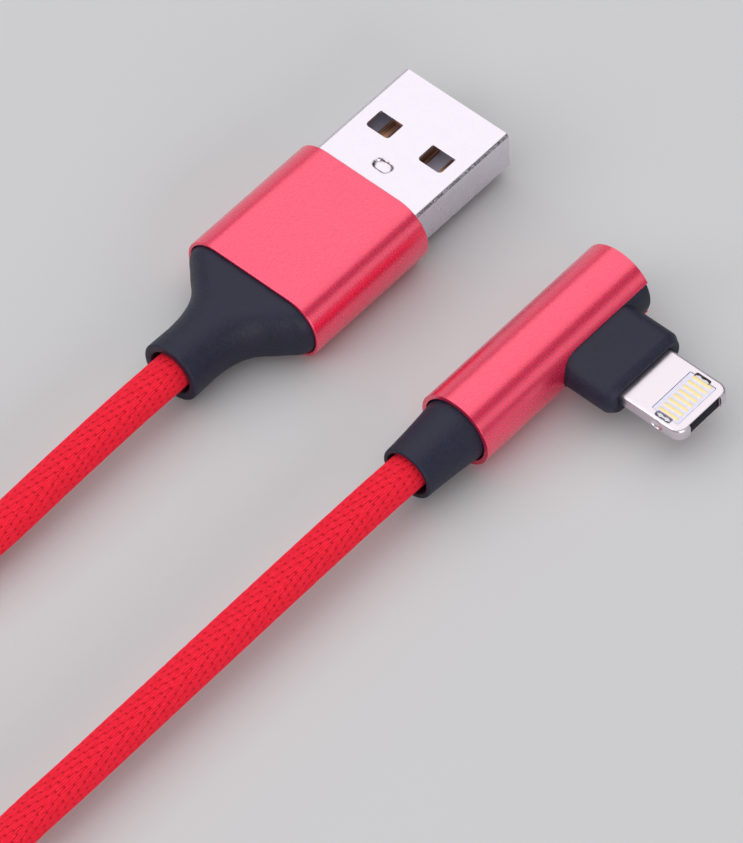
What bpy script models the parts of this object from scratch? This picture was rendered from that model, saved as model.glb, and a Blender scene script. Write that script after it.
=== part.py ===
"""Braided charging cable with a USB-A plug at one end and a right-angle eight-pin phone plug
at the other.

Frame: +X runs across the two plugs, from the USB plug to the phone plug. +Y is the way both
moulded housings point, away from their cords. +Z is up. The origin lies on the surface that
the plugs rest on, under the middle of the two plugs. All lengths are in metres.
"""
import math

import bmesh
import bpy
from mathutils import Vector

MM = 0.001

# ---------------------------------------------------------------- clearances
FIT = 0.15 * MM             # between moulded and metal pieces that seat in each other
FINE = 0.06 * MM            # between the smallest pieces: contacts, carrier, board
MEET = 0.30 * MM            # between cord ends that meet face to face

# ---------------------------------------------------------------- cord
CORD_DIAMETER = 3.55 * MM
CORD_SOCKET = 1.0 * MM      # how far the free cord reaches into each boot
CORD_STEP = 7.8 * MM        # spacing of the points along a free stretch

# ---------------------------------------------------------------- USB plug
SLEEVE_LENGTH = 14.35 * MM
SLEEVE_CORNER = 3.35 * MM
SLEEVE_WALL = 0.35 * MM
SLEEVE_CHAMFER = 0.15 * MM

SHELL_WIDTH = 12.0 * MM     # by the standard, as is the height
SHELL_HEIGHT = 4.5 * MM
SHELL_CORNER = 0.5 * MM
SHELL_WALL = 0.3 * MM
SHELL_EXPOSED = 12.38 * MM  # from the sleeve's front to the shell's nose
SHELL_BURIED = 5.5 * MM
WINDOW_WIDTH = 2.62 * MM
WINDOW_LENGTH = 2.05 * MM
WINDOW_OFFSET = 3.03 * MM   # window centre from the plug's centreline
WINDOW_SETBACK = 5.15 * MM  # window's front edge behind the nose
DIMPLE_SETBACK = 9.7 * MM
DIMPLE_WIDTH = 1.9 * MM
DIMPLE_LENGTH = 1.2 * MM
DIMPLE_DEPTH = 0.17 * MM

MOULD_SIDE = 0.9 * MM       # inner moulding's thickness beside the shell
MOULD_COVER = 0.575 * MM    # its thickness over and under the shell
MOULD_RECESS = 0.35 * MM    # inner moulding behind the sleeve's front rim
MOULD_LENGTH = 8.8 * MM

TONGUE_THICKNESS = 1.85 * MM
TONGUE_SETBACK = 0.4 * MM
TONGUE_LENGTH = 16.2 * MM
TONGUE_HEEL = 3.0 * MM      # length of the full-height block at the back of the tongue
USB_CONTACT_WIDTH = 1.0 * MM
USB_CONTACT_THICKNESS = 0.25 * MM
USB_CONTACT_TAIL = 0.8 * MM
USB_CONTACTS = (            # name, offset from the centreline, setback behind the nose
    ("power", -3.5 * MM, 1.1 * MM),
    ("data_minus", -1.0 * MM, 2.1 * MM),
    ("data_plus", 1.0 * MM, 2.1 * MM),
    ("ground", 3.5 * MM, 1.1 * MM),
)

BOOT_LENGTH = 10.5 * MM     # from the sleeve's rear to the collar's end
BOOT_FLARE = 7.8 * MM       # length over which the boot narrows to its waist
BOOT_NARROWING = (          # share of the flare, share of the narrowing
    (0.07, 0.06), (0.15, 0.21), (0.26, 0.41), (0.36, 0.61), (0.45, 0.75),
    (0.55, 0.85), (0.68, 0.93), (0.83, 0.98), (1.0, 1.0),
)
BOOT_WAIST = 5.84 * MM      # collar diameter at its narrowest
BOOT_COLLAR = 5.94 * MM     # collar diameter near its end
BOOT_PLUG = 3.5 * MM        # length of the boot's tenon inside the sleeve
BOOT_EDGE = 0.25 * MM       # chamfer round the cord end of both boots

CRIMP_WALL = 0.45 * MM
CRIMP_LENGTH = 1.1 * MM
WIRE_DIAMETER = 0.7 * MM
WIRE_PITCH = 0.85 * MM      # of the four wires where they leave the jacket

# ---------------------------------------------------------------- right-angle phone plug
PLUG_SPACING = 22.76 * MM   # between the USB plug's axis and the tube's axis
TUBE_WALL = 0.45 * MM
TUBE_NEAR = 0.46 * MM       # tube's cord end, ahead of the USB sleeve's rear
TUBE_LENGTH = 21.5 * MM
TUBE_CHAMFER = 0.12 * MM

NECK_CENTRE = 15.22 * MM    # phone plug's centreline, ahead of the USB sleeve's rear
NECK_WIDTH = 9.6 * MM
NECK_HEIGHT = 3.75 * MM
NECK_CORNER = 1.8 * MM
NECK_REACH = 8.72 * MM      # neck's front face from the tube's axis
NECK_BEVEL = 0.6 * MM
CORE_SPARE = 0.27 * MM      # the core's slot filler below the tube's outer surface
CORE_WALL = 0.55 * MM
CORE_AIR = 0.19 * MM        # between the core's bore and the ferrule in it
CORE_CAP = 1.3 * MM
CORE_TENON = 4.0 * MM       # length of the boot's tenon inside the tube

PLUG_WIDTH = 6.7 * MM
PLUG_THICKNESS = 1.5 * MM
PLUG_EXPOSED = 6.62 * MM
PLUG_BURIED = 3.4 * MM
PLUG_TIP_CORNER = 1.1 * MM
PLUG_ROUND = 0.4 * MM       # rounding of the plug's long edges
PLUG_WINDOW_WIDTH = 5.1 * MM
PLUG_WINDOW_LENGTH = 2.92 * MM
PLUG_WINDOW_SETBACK = 0.9 * MM  # window behind the plug's tip
NOSE_SLOT_WIDTH = 4.0 * MM
NOSE_SLOT_HEIGHT = 1.0 * MM
NOSE_SLOT_DEPTH = 0.5 * MM
NOTCH_RADIUS = 0.5 * MM
NOTCH_DEPTH = 0.3 * MM
NOTCH_SETBACK = 2.66 * MM   # detent notch's centre behind the plug's tip
PIN_COUNT = 8
PIN_PITCH = 0.62 * MM
PIN_WIDTH = 0.34 * MM
PIN_LENGTH = 2.1 * MM
PIN_THICKNESS = 0.2 * MM
RETAINER_WIDTH = 0.2 * MM
RETAINER_LENGTH = 1.5 * MM
RETAINER_HEIGHT = 0.3 * MM

BOARD_WIDTH = 4.6 * MM
BOARD_THICKNESS = 0.6 * MM
BOARD_REAR = 1.9 * MM       # board's rear edge behind the tube's axis
CHIP_SIZE = 2.0 * MM
CHIP_HEIGHT = 0.5 * MM

ELBOW_BOOT_LENGTH = 6.2 * MM    # from the tube's cord end to the collar's end
ELBOW_BOOT_END = 5.24 * MM

# ---------------------------------------------------------------- coil of spare cord
COIL_TURNS = 3              # turns in each of the two layers
COIL_SPARE = 0.55 * MM      # air between neighbouring turns
COIL_INNER = 12.0 * MM      # least centreline radius, where the spiral reverses
COIL_CENTRE = (6.2 * MM, -94.0 * MM)   # from the USB plug's axis and the sleeve's rear
COIL_POINTS = 24            # points in a turn

# ---------------------------------------------------------------- worked out from the above
CORD_BORE = CORD_DIAMETER / 2 + FIT
TUBE_DIAMETER = 2 * (CORD_BORE + CRIMP_WALL + CORE_AIR + CORE_WALL + FIT + TUBE_WALL)
ELBOW_BOOT_MOUTH = TUBE_DIAMETER - 2 * (TUBE_WALL + FIT)
SLEEVE_WIDTH = SHELL_WIDTH + 2 * (FIT + MOULD_SIDE + FIT + SLEEVE_WALL)
SLEEVE_HEIGHT = SHELL_HEIGHT + 2 * (FIT + MOULD_COVER + FIT + SLEEVE_WALL)
SPAN_X = SLEEVE_WIDTH / 2 + PLUG_SPACING + NECK_REACH + PLUG_EXPOSED
SPAN_Y = BOOT_LENGTH + SLEEVE_LENGTH + SHELL_EXPOSED
USB_X = SLEEVE_WIDTH / 2 - SPAN_X / 2
REAR_Y = BOOT_LENGTH - SPAN_Y / 2
FRONT_Y = REAR_Y + SLEEVE_LENGTH
NOSE_Y = FRONT_Y + SHELL_EXPOSED
USB_Z = SLEEVE_HEIGHT / 2
TUBE_X = USB_X + PLUG_SPACING
TUBE_Y0 = REAR_Y + TUBE_NEAR
TUBE_Y1 = TUBE_Y0 + TUBE_LENGTH
TUBE_Z = TUBE_DIAMETER / 2
PLUG_Y = REAR_Y + NECK_CENTRE
FACE_X = TUBE_X + NECK_REACH
TIP_X = FACE_X + PLUG_EXPOSED


# ================================================================ materials
def material(name, color, roughness, metallic=0.0):
    """A plain Principled material."""
    made = bpy.data.materials.new(name)
    made.use_nodes = True
    shader = made.node_tree.nodes["Principled BSDF"]
    shader.inputs["Base Color"].default_value = (*color, 1.0)
    shader.inputs["Roughness"].default_value = roughness
    shader.inputs["Metallic"].default_value = metallic
    made.diffuse_color = (*color, 1.0)
    return made


def make_materials():
    """Every material of the cable, by name."""
    return {
        "anodised": material("red_anodised_aluminium", (0.62, 0.02, 0.05), 0.35, 1.0),
        "steel": material("plated_steel", (0.80, 0.79, 0.81), 0.25, 1.0),
        "frame": material("polished_steel", (0.84, 0.82, 0.84), 0.2, 1.0),
        "moulding": material("navy_moulding", (0.030, 0.032, 0.050), 0.55),
        "insulator": material("grey_insulator", (0.16, 0.16, 0.18), 0.5),
        "carrier": material("pale_carrier", (0.66, 0.70, 0.80), 0.4),
        "gold": material("pale_gold", (0.90, 0.76, 0.36), 0.28, 1.0),
        "brass": material("brass_contact", (0.55, 0.36, 0.16), 0.35, 1.0),
        "braid": material("red_braid", (0.80, 0.015, 0.03), 0.8),
        "wire": material("wire_insulation", (0.55, 0.55, 0.55), 0.5),
        "board": material("circuit_board", (0.02, 0.16, 0.07), 0.5),
        "chip": material("chip_package", (0.02, 0.02, 0.02), 0.4),
    }


# ================================================================ outlines
def rounded_rectangle(width, height, radius, steps=6):
    """Points round a rectangle with quarter-round corners, as (across, up) pairs."""
    radius = min(radius, 0.498 * width, 0.498 * height)
    points = []
    for quarter in range(4):
        side_a = 1 if quarter in (0, 3) else -1
        side_b = 1 if quarter in (0, 1) else -1
        centre_a = side_a * (width / 2 - radius)
        centre_b = side_b * (height / 2 - radius)
        for step in range(steps + 1):
            angle = math.pi / 2 * (quarter + step / steps)
            points.append((centre_a + radius * math.cos(angle),
                           centre_b + radius * math.sin(angle)))
    return points


def eased_rectangle(width, height, radius, count=32):
    """The same outline sampled at even steps of its parametric angle, so that it can be
    lofted to a circle of as many points: each ray from the middle is cut at the outline."""
    half_a, half_b = width / 2, height / 2
    radius = min(radius, half_a, half_b)
    points = []
    for index in range(count):
        turn = 2 * math.pi * index / count
        along = Vector((half_a * math.cos(turn), half_b * math.sin(turn))).normalized()
        ray_a, ray_b = max(abs(along.x), 1e-9), max(abs(along.y), 1e-9)
        length = min(half_a / ray_a, half_b / ray_b)
        if (length * ray_a > half_a - radius) and (length * ray_b > half_b - radius):
            centre = Vector((half_a - radius, half_b - radius))
            ray = Vector((ray_a, ray_b)).normalized()
            middle = ray.dot(centre)
            length = middle + math.sqrt(max(middle ** 2 - centre.length_squared + radius ** 2, 0.0))
        points.append((along.x * length, along.y * length))
    return points


def circle(radius, count=32, start=0.0):
    """Points round a circle, as (across, up) pairs."""
    return [(radius * math.cos(start + 2 * math.pi * i / count),
             radius * math.sin(start + 2 * math.pi * i / count)) for i in range(count)]


def along_y(outline, centre_x, y, centre_z):
    """An outline in a plane square to Y."""
    return [Vector((centre_x + a, y, centre_z + b)) for a, b in outline]


def along_x(outline, x, centre_y, centre_z):
    """An outline in a plane square to X."""
    return [Vector((x, centre_y + a, centre_z + b)) for a, b in outline]


# ================================================================ objects
def finish(obj, surface, smooth_angle=None):
    """Give an object its material and its shading."""
    obj.data.materials.append(surface)
    if smooth_angle is not None:
        obj.data.shade_smooth()
        obj.data.set_sharp_from_angle(angle=math.radians(smooth_angle))
    return obj


def skin(name, rings, surface=None, closed=False, smooth_angle=None):
    """A closed solid through rings of points. Open rings are capped at both ends. A closed
    run joins its last ring to its first, which makes a wall round a bore."""
    mesh = bpy.data.meshes.new(name)
    shape = bmesh.new()
    loops = [[shape.verts.new(point) for point in ring] for ring in rings]
    pairs = list(zip(loops, loops[1:]))
    if closed:
        pairs.append((loops[-1], loops[0]))
    for low, high in pairs:
        count = len(low)
        for i in range(count):
            j = (i + 1) % count
            shape.faces.new((low[i], low[j], high[j], high[i]))
    if not closed:
        shape.faces.new(loops[0])
        shape.faces.new(loops[-1])
    bmesh.ops.recalc_face_normals(shape, faces=shape.faces)
    shape.to_mesh(mesh)
    shape.free()
    obj = bpy.data.objects.new(name, mesh)
    bpy.context.collection.objects.link(obj)
    if surface:
        finish(obj, surface, smooth_angle)
    return obj


def block(name, low, high, surface=None, bevel=0.0):
    """A box between two corners, its edges chamfered where bevel is given."""
    mesh = bpy.data.meshes.new(name)
    shape = bmesh.new()
    bmesh.ops.create_cube(shape, size=1.0)
    middle = (Vector(low) + Vector(high)) / 2
    size = Vector(high) - Vector(low)
    for vert in shape.verts:
        vert.co = Vector((middle[i] + vert.co[i] * size[i] for i in range(3)))
    if bevel:
        bmesh.ops.bevel(shape, geom=shape.edges[:], offset=bevel, segments=1, affect="EDGES")
    bmesh.ops.recalc_face_normals(shape, faces=shape.faces)
    shape.to_mesh(mesh)
    shape.free()
    obj = bpy.data.objects.new(name, mesh)
    bpy.context.collection.objects.link(obj)
    if surface:
        finish(obj, surface)
    return obj


def combine(target, other, operation):
    """Cut another solid out of the target, or join it on, and keep it only as a guide."""
    other.hide_render = True
    other.display_type = "WIRE"
    change = target.modifiers.new(other.name, "BOOLEAN")
    change.operation = operation
    change.object = other
    change.solver = "EXACT"


def turned_wall(name, stations, bore, centre, surface, sides=32):
    """A round wall about an axis along Y: outer (y, radius) stations, then its bore."""
    outer = [along_y(circle(r, sides), centre[0], y, centre[1]) for y, r in stations]
    inner = [along_y(circle(bore, sides), centre[0], y, centre[1])
             for y in (stations[-1][0], stations[0][0])]
    return skin(name, outer + inner, surface, closed=True, smooth_angle=40)


# ================================================================ cords
def smooth_path(route, step):
    """Points about a step apart on a Catmull-Rom curve through the route's points."""
    padded = [2 * route[0] - route[1]] + route + [2 * route[-1] - route[-2]]
    dense = []
    for a, b, c, d in zip(padded, padded[1:], padded[2:], padded[3:]):
        for k in range(40):
            t = k / 40
            dense.append(0.5 * (2 * b + (c - a) * t + (2 * a - 5 * b + 4 * c - d) * t ** 2
                                + (3 * b - a - 3 * c + d) * t ** 3))
    dense.append(route[-1])
    travelled = [0.0]
    for a, b in zip(dense, dense[1:]):
        travelled.append(travelled[-1] + (b - a).length)
    count = max(2, round(travelled[-1] / step))
    points, index = [], 0
    for k in range(count + 1):
        goal = travelled[-1] * k / count
        while index < len(dense) - 2 and travelled[index + 1] < goal:
            index += 1
        part = (goal - travelled[index]) / (travelled[index + 1] - travelled[index])
        points.append(dense[index].lerp(dense[index + 1], min(max(part, 0.0), 1.0)))
    return points


def tube(name, points, diameter, resolution, surface):
    """A round cord, a curve with a bevel and filled caps."""
    curve = bpy.data.curves.new(name, "CURVE")
    curve.dimensions = "3D"
    curve.bevel_depth = diameter / 2
    curve.bevel_resolution = resolution
    curve.use_fill_caps = True
    spline = curve.splines.new("POLY")
    spline.points.add(len(points) - 1)
    for spot, point in zip(spline.points, points):
        spot.co = (*point, 1.0)
    obj = bpy.data.objects.new(name, curve)
    bpy.context.collection.objects.link(obj)
    curve.materials.append(surface)
    return obj


def path_length(points):
    return sum((b - a).length for a, b in zip(points, points[1:]))


def least_gap(points, diameter):
    """The least air between turns of one tube: centreline distance less the diameter, over
    the points at least three diameters apart along it."""
    travelled = [0.0]
    for a, b in zip(points, points[1:]):
        travelled.append(travelled[-1] + (b - a).length)
    least = math.inf
    for i, a in enumerate(points):
        for j in range(i + 1, len(points) - 1):
            if travelled[j] - travelled[i] < 3 * diameter:
                continue
            edge = points[j + 1] - points[j]
            part = max(0.0, min(1.0, (a - points[j]).dot(edge) / edge.length_squared))
            least = min(least, (points[j] + edge * part - a).length)
    return least - diameter


def coil_path():
    """Two layers of turns. The cord comes in on the -X side heading -Y, spirals in along the
    surface, climbs a layer in the half turn where the spiral reverses, spirals out again and
    leaves on the +X side heading +Y. A straight diameter of cord stands at each end."""
    pitch = CORD_DIAMETER + COIL_SPARE
    low = CORD_DIAMETER / 2 + 0.05 * MM
    centre = Vector((USB_X + COIL_CENTRE[0], REAR_Y + COIL_CENTRE[1], 0.0))
    steps = int((2 * COIL_TURNS + 0.5) * COIL_POINTS)
    points = []
    for k in range(steps + 1):
        turn = k / COIL_POINTS
        rise = min(max((turn - COIL_TURNS) / 0.5, 0.0), 1.0)
        lift = rise * rise * (3 - 2 * rise)
        radius = COIL_INNER + pitch * abs(turn - COIL_TURNS - 0.25)
        angle = math.pi + 2 * math.pi * turn
        points.append(centre + Vector((radius * math.cos(angle), radius * math.sin(angle),
                                       low + lift * pitch)))
    lead_in = points[0] + Vector((0.0, CORD_DIAMETER, 0.0))
    lead_out = points[-1] + Vector((0.0, CORD_DIAMETER, 0.0))
    return [lead_in] + points + [lead_out]


def make_cord(looks):
    """The free cord: a run from each plug, and the coil between them."""
    coil = coil_path()
    usb_end = Vector((USB_X, REAR_Y - BOOT_LENGTH + CORD_SOCKET, USB_Z))
    elbow_end = Vector((TUBE_X, TUBE_Y0 - ELBOW_BOOT_LENGTH + CORD_SOCKET, TUBE_Z))

    # Offsets in millimetres from the plug's axis and the sleeve's rear, and heights.
    usb_route = [usb_end] + [
        Vector((USB_X + dx * MM, REAR_Y + dy * MM, z * MM)) for dx, dy, z in (
            (-0.08, -16.0, 3.43), (-0.05, -24.0, 3.25), (-0.05, -33.0, 2.9), (-0.8, -42.0, 2.45),
            (-3.7, -52.0, 2.07), (-8.8, -62.5, 1.93), (-14.3, -73.0, 1.9), (-18.2, -83.0, 1.9))
    ] + [coil[0] + Vector((0.0, MEET, 0.0))]
    elbow_route = [elbow_end] + [
        Vector((TUBE_X + dx * MM, REAR_Y + dy * MM, z * MM)) for dx, dy, z in (
            (-0.25, -11.0, 3.7), (-0.3, -21.0, 3.6), (-0.33, -34.0, 3.4), (-0.33, -46.0, 3.25),
            (-0.25, -54.5, 3.25), (1.2, -63.5, 3.6), (4.3, -72.5, 4.5), (7.4, -81.0, 5.6))
    ] + [coil[-1] + Vector((0.0, MEET, 0.0))]
    usb_run = smooth_path(usb_route, CORD_STEP)
    elbow_run = smooth_path(elbow_route, CORD_STEP)

    tube("cord_usb_run", usb_run, CORD_DIAMETER, 2, looks["braid"])
    tube("cord_coil", coil, CORD_DIAMETER, 1, looks["braid"])
    tube("cord_elbow_run", elbow_run, CORD_DIAMETER, 2, looks["braid"])
    total = path_length(usb_run) + path_length(coil) + path_length(elbow_run)
    print(f"cord: {total:.4f} m of free cord, {path_length(coil):.4f} m of it in the coil")
    print(f"coil: least gap to itself {least_gap(coil, CORD_DIAMETER) / MM:.2f} mm")


# ================================================================ USB plug
def make_usb_sleeve(looks):
    """The anodised sleeve: a rounded rectangular tube with a fine chamfer on each rim."""
    inner_w = SLEEVE_WIDTH - 2 * SLEEVE_WALL
    inner_h = SLEEVE_HEIGHT - 2 * SLEEVE_WALL
    stations = (
        (REAR_Y, SLEEVE_WIDTH - 2 * SLEEVE_CHAMFER, SLEEVE_HEIGHT - 2 * SLEEVE_CHAMFER),
        (REAR_Y + SLEEVE_CHAMFER, SLEEVE_WIDTH, SLEEVE_HEIGHT),
        (FRONT_Y - SLEEVE_CHAMFER, SLEEVE_WIDTH, SLEEVE_HEIGHT),
        (FRONT_Y, SLEEVE_WIDTH - 2 * SLEEVE_CHAMFER, SLEEVE_HEIGHT - 2 * SLEEVE_CHAMFER),
        (FRONT_Y, inner_w, inner_h),
        (REAR_Y, inner_w, inner_h),
    )
    rings = []
    for y, width, height in stations:
        corner = SLEEVE_CORNER - (SLEEVE_WIDTH - width) / 2
        rings.append(along_y(rounded_rectangle(width, height, corner, 8), USB_X, y, USB_Z))
    return skin("usb_sleeve", rings, looks["anodised"], closed=True, smooth_angle=35)


def make_usb_mould(looks):
    """The moulding that holds the shell in the sleeve, with the shell's seat through it."""
    width = SLEEVE_WIDTH - 2 * (SLEEVE_WALL + FIT)
    height = SLEEVE_HEIGHT - 2 * (SLEEVE_WALL + FIT)
    corner = SLEEVE_CORNER - SLEEVE_WALL - FIT
    y1 = FRONT_Y - MOULD_RECESS
    y0 = y1 - MOULD_LENGTH
    outer = rounded_rectangle(width, height, corner, 6)
    seat = rounded_rectangle(SHELL_WIDTH + 2 * FIT, SHELL_HEIGHT + 2 * FIT, SHELL_CORNER + FIT, 6)
    rings = [along_y(outer, USB_X, y0, USB_Z), along_y(outer, USB_X, y1, USB_Z),
             along_y(seat, USB_X, y1, USB_Z), along_y(seat, USB_X, y0, USB_Z)]
    return skin("usb_inner_mould", rings, looks["moulding"], closed=True, smooth_angle=35)


def make_usb_boot(looks):
    """The strain relief: a tenon in the sleeve, which narrows outside it to a round waist, a
    slightly thicker collar, and the cord's bore through all of it."""
    tenon_w = SLEEVE_WIDTH - 2 * (SLEEVE_WALL + FIT)
    tenon_h = SLEEVE_HEIGHT - 2 * (SLEEVE_WALL + FIT)
    tenon_r = SLEEVE_CORNER - SLEEVE_WALL - FIT
    stations = [(REAR_Y + BOOT_PLUG, tenon_w, tenon_h, tenon_r),
                (REAR_Y, tenon_w, tenon_h, tenon_r)]
    for along, narrowed in BOOT_NARROWING:
        width = tenon_w + (BOOT_WAIST - tenon_w) * narrowed
        height = tenon_h + (BOOT_WAIST - tenon_h) * along
        radius = tenon_r + (BOOT_WAIST / 2 - tenon_r) * along
        stations.append((REAR_Y - BOOT_FLARE * along, width, height, radius))
    collar_y = REAR_Y - BOOT_LENGTH
    for y, width in ((collar_y + 1.1 * MM, BOOT_COLLAR),
                     (collar_y + BOOT_EDGE, BOOT_COLLAR),
                     (collar_y, BOOT_COLLAR - 2 * BOOT_EDGE)):
        stations.append((y, width, width, width / 2))
    rings = [along_y(eased_rectangle(w, h, r), USB_X, y, USB_Z) for y, w, h, r in stations]
    bore = circle(CORD_BORE)
    rings += [along_y(bore, USB_X, collar_y, USB_Z),
              along_y(bore, USB_X, REAR_Y + BOOT_PLUG, USB_Z)]
    return skin("usb_boot", rings, looks["moulding"], closed=True, smooth_angle=50)


def make_usb_shell(looks):
    """The folded steel shell: four windows, two on top and two below, and a pressed dimple."""
    y0 = FRONT_Y - SHELL_BURIED
    inner_w = SHELL_WIDTH - 2 * SHELL_WALL
    inner_h = SHELL_HEIGHT - 2 * SHELL_WALL
    outer = rounded_rectangle(SHELL_WIDTH, SHELL_HEIGHT, SHELL_CORNER, 4)
    inner = rounded_rectangle(inner_w, inner_h, SHELL_CORNER - SHELL_WALL, 4)
    rings = [along_y(outer, USB_X, y0, USB_Z), along_y(outer, USB_X, NOSE_Y, USB_Z),
             along_y(inner, USB_X, NOSE_Y, USB_Z), along_y(inner, USB_X, y0, USB_Z)]
    shell = skin("usb_shell", rings, looks["steel"], closed=True, smooth_angle=35)
    for side in (-1, 1):
        x = USB_X + side * WINDOW_OFFSET
        y = NOSE_Y - WINDOW_SETBACK
        hole = block(f"window_cutter_{side}",
                     (x - WINDOW_WIDTH / 2, y - WINDOW_LENGTH, USB_Z - SHELL_HEIGHT),
                     (x + WINDOW_WIDTH / 2, y, USB_Z + SHELL_HEIGHT))
        combine(shell, hole, "DIFFERENCE")
    top = USB_Z + SHELL_HEIGHT / 2
    shape = circle(0.5, 16)
    rings = []
    for z, share in ((top - DIMPLE_DEPTH, 0.45), (top - 0.6 * DIMPLE_DEPTH, 0.8), (top + 0.1 * MM, 1.1)):
        rings.append([Vector((USB_X + a * DIMPLE_WIDTH * share,
                              NOSE_Y - DIMPLE_SETBACK + b * DIMPLE_LENGTH * share, z))
                      for a, b in shape])
    combine(shell, skin("dimple_cutter", rings), "DIFFERENCE")
    return shell


def usb_tongue_top():
    """Height of the tongue's contact face."""
    return USB_Z - SHELL_HEIGHT / 2 + SHELL_WALL + FIT + TONGUE_THICKNESS


def usb_contact_box(offset, setback, spare):
    """Corners of one contact bar, grown by a clearance."""
    low = (USB_X + offset - USB_CONTACT_WIDTH / 2 - spare,
           NOSE_Y - TONGUE_SETBACK - TONGUE_LENGTH - USB_CONTACT_TAIL - spare,
           usb_tongue_top() + FINE - spare)
    high = (USB_X + offset + USB_CONTACT_WIDTH / 2 + spare,
            NOSE_Y - setback + spare,
            usb_tongue_top() + FINE + USB_CONTACT_THICKNESS + spare)
    return low, high


def make_usb_tongue(looks):
    """The insulating tongue: a plate along the shell's floor and a heel that fills the shell,
    with a passage for each contact through the heel."""
    half = SHELL_WIDTH / 2 - SHELL_WALL - FIT
    y1 = NOSE_Y - TONGUE_SETBACK
    y0 = y1 - TONGUE_LENGTH
    floor = USB_Z - SHELL_HEIGHT / 2 + SHELL_WALL + FIT
    ceiling = USB_Z + SHELL_HEIGHT / 2 - SHELL_WALL - FIT
    top = usb_tongue_top()
    nose = 0.3 * MM
    side = [(y0, floor), (y1, floor), (y1, top - nose), (y1 - nose, top),
            (y0 + TONGUE_HEEL, top), (y0 + TONGUE_HEEL, ceiling), (y0, ceiling)]
    rings = [[Vector((USB_X + a, y, z)) for y, z in side] for a in (-half, half)]
    tongue = skin("usb_tongue", rings, looks["insulator"])
    for name, offset, setback in USB_CONTACTS:
        low, high = usb_contact_box(offset, setback, FINE)
        passage = block(f"passage_cutter_{name}", low, high)
        combine(tongue, passage, "DIFFERENCE")
    return tongue


def make_usb_contacts(looks):
    """Four contact bars on the tongue, the two outer ones longer."""
    for name, offset, setback in USB_CONTACTS:
        low, high = usb_contact_box(offset, setback, 0.0)
        block(f"usb_contact_{name}", low, high, looks["brass"])


def jacket_end(name, centre, collar_y, inner_y, looks):
    """The cord's jacket inside a plug, from where the free cord meets it."""
    outline = circle(CORD_DIAMETER / 2, 24)
    rings = [along_y(outline, centre[0], y, centre[1])
             for y in (collar_y + CORD_SOCKET + MEET, inner_y)]
    return skin(name, rings, looks["braid"], smooth_angle=40)


def crimp_ring(name, centre, y0, looks):
    """The metal band that grips the jacket."""
    inner = CORD_BORE
    outer = inner + CRIMP_WALL
    return turned_wall(name, ((y0, outer), (y0 + CRIMP_LENGTH, outer)), inner, centre,
                       looks["steel"], 24)


def make_usb_inside(looks):
    """Jacket end, crimp and the four wires to the contacts' tails."""
    jacket_y = REAR_Y + BOOT_PLUG + FIT + CRIMP_LENGTH
    centre = (USB_X, USB_Z)
    jacket_end("usb_jacket_end", centre, REAR_Y - BOOT_LENGTH, jacket_y, looks)
    crimp_ring("usb_crimp", centre, REAR_Y + BOOT_PLUG + FIT, looks)
    tail_y = NOSE_Y - TONGUE_SETBACK - TONGUE_LENGTH - USB_CONTACT_TAIL
    contact_z = usb_tongue_top() + FINE + USB_CONTACT_THICKNESS / 2
    for index, (name, offset, _) in enumerate(USB_CONTACTS):
        start = Vector((USB_X + (index - 1.5) * WIRE_PITCH, jacket_y + FIT, USB_Z))
        end = Vector((USB_X + offset, tail_y - FIT, contact_z))
        third = (end.y - start.y) / 4
        route = [start, start + Vector((0.0, third, 0.0)), end - Vector((0.0, third, 0.0)), end]
        tube(f"usb_wire_{name}", smooth_path(route, WIRE_DIAMETER), WIRE_DIAMETER, 0,
             looks["wire"])


# ================================================================ right-angle phone plug
def neck_outline(grown=0.0):
    """The neck's section, square to X."""
    return rounded_rectangle(NECK_WIDTH + 2 * grown, NECK_HEIGHT + 2 * grown,
                             NECK_CORNER + grown, 6)


def make_elbow_sleeve(looks):
    """The anodised tube, its side slot open at the far end and round at the other."""
    outer = TUBE_DIAMETER / 2
    stations = ((TUBE_Y0, outer - TUBE_CHAMFER), (TUBE_Y0 + TUBE_CHAMFER, outer),
                (TUBE_Y1 - TUBE_CHAMFER, outer), (TUBE_Y1, outer - TUBE_CHAMFER))
    sleeve = turned_wall("elbow_sleeve", stations, outer - TUBE_WALL, (TUBE_X, TUBE_Z),
                         looks["anodised"], 48)
    outline = [(a if a < 0 else a + TUBE_LENGTH, b) for a, b in neck_outline(FINE)]
    rings = [along_x(outline, x, PLUG_Y, TUBE_Z) for x in (TUBE_X, TUBE_X + TUBE_DIAMETER)]
    combine(sleeve, skin("slot_cutter", rings), "DIFFERENCE")
    return sleeve


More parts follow.
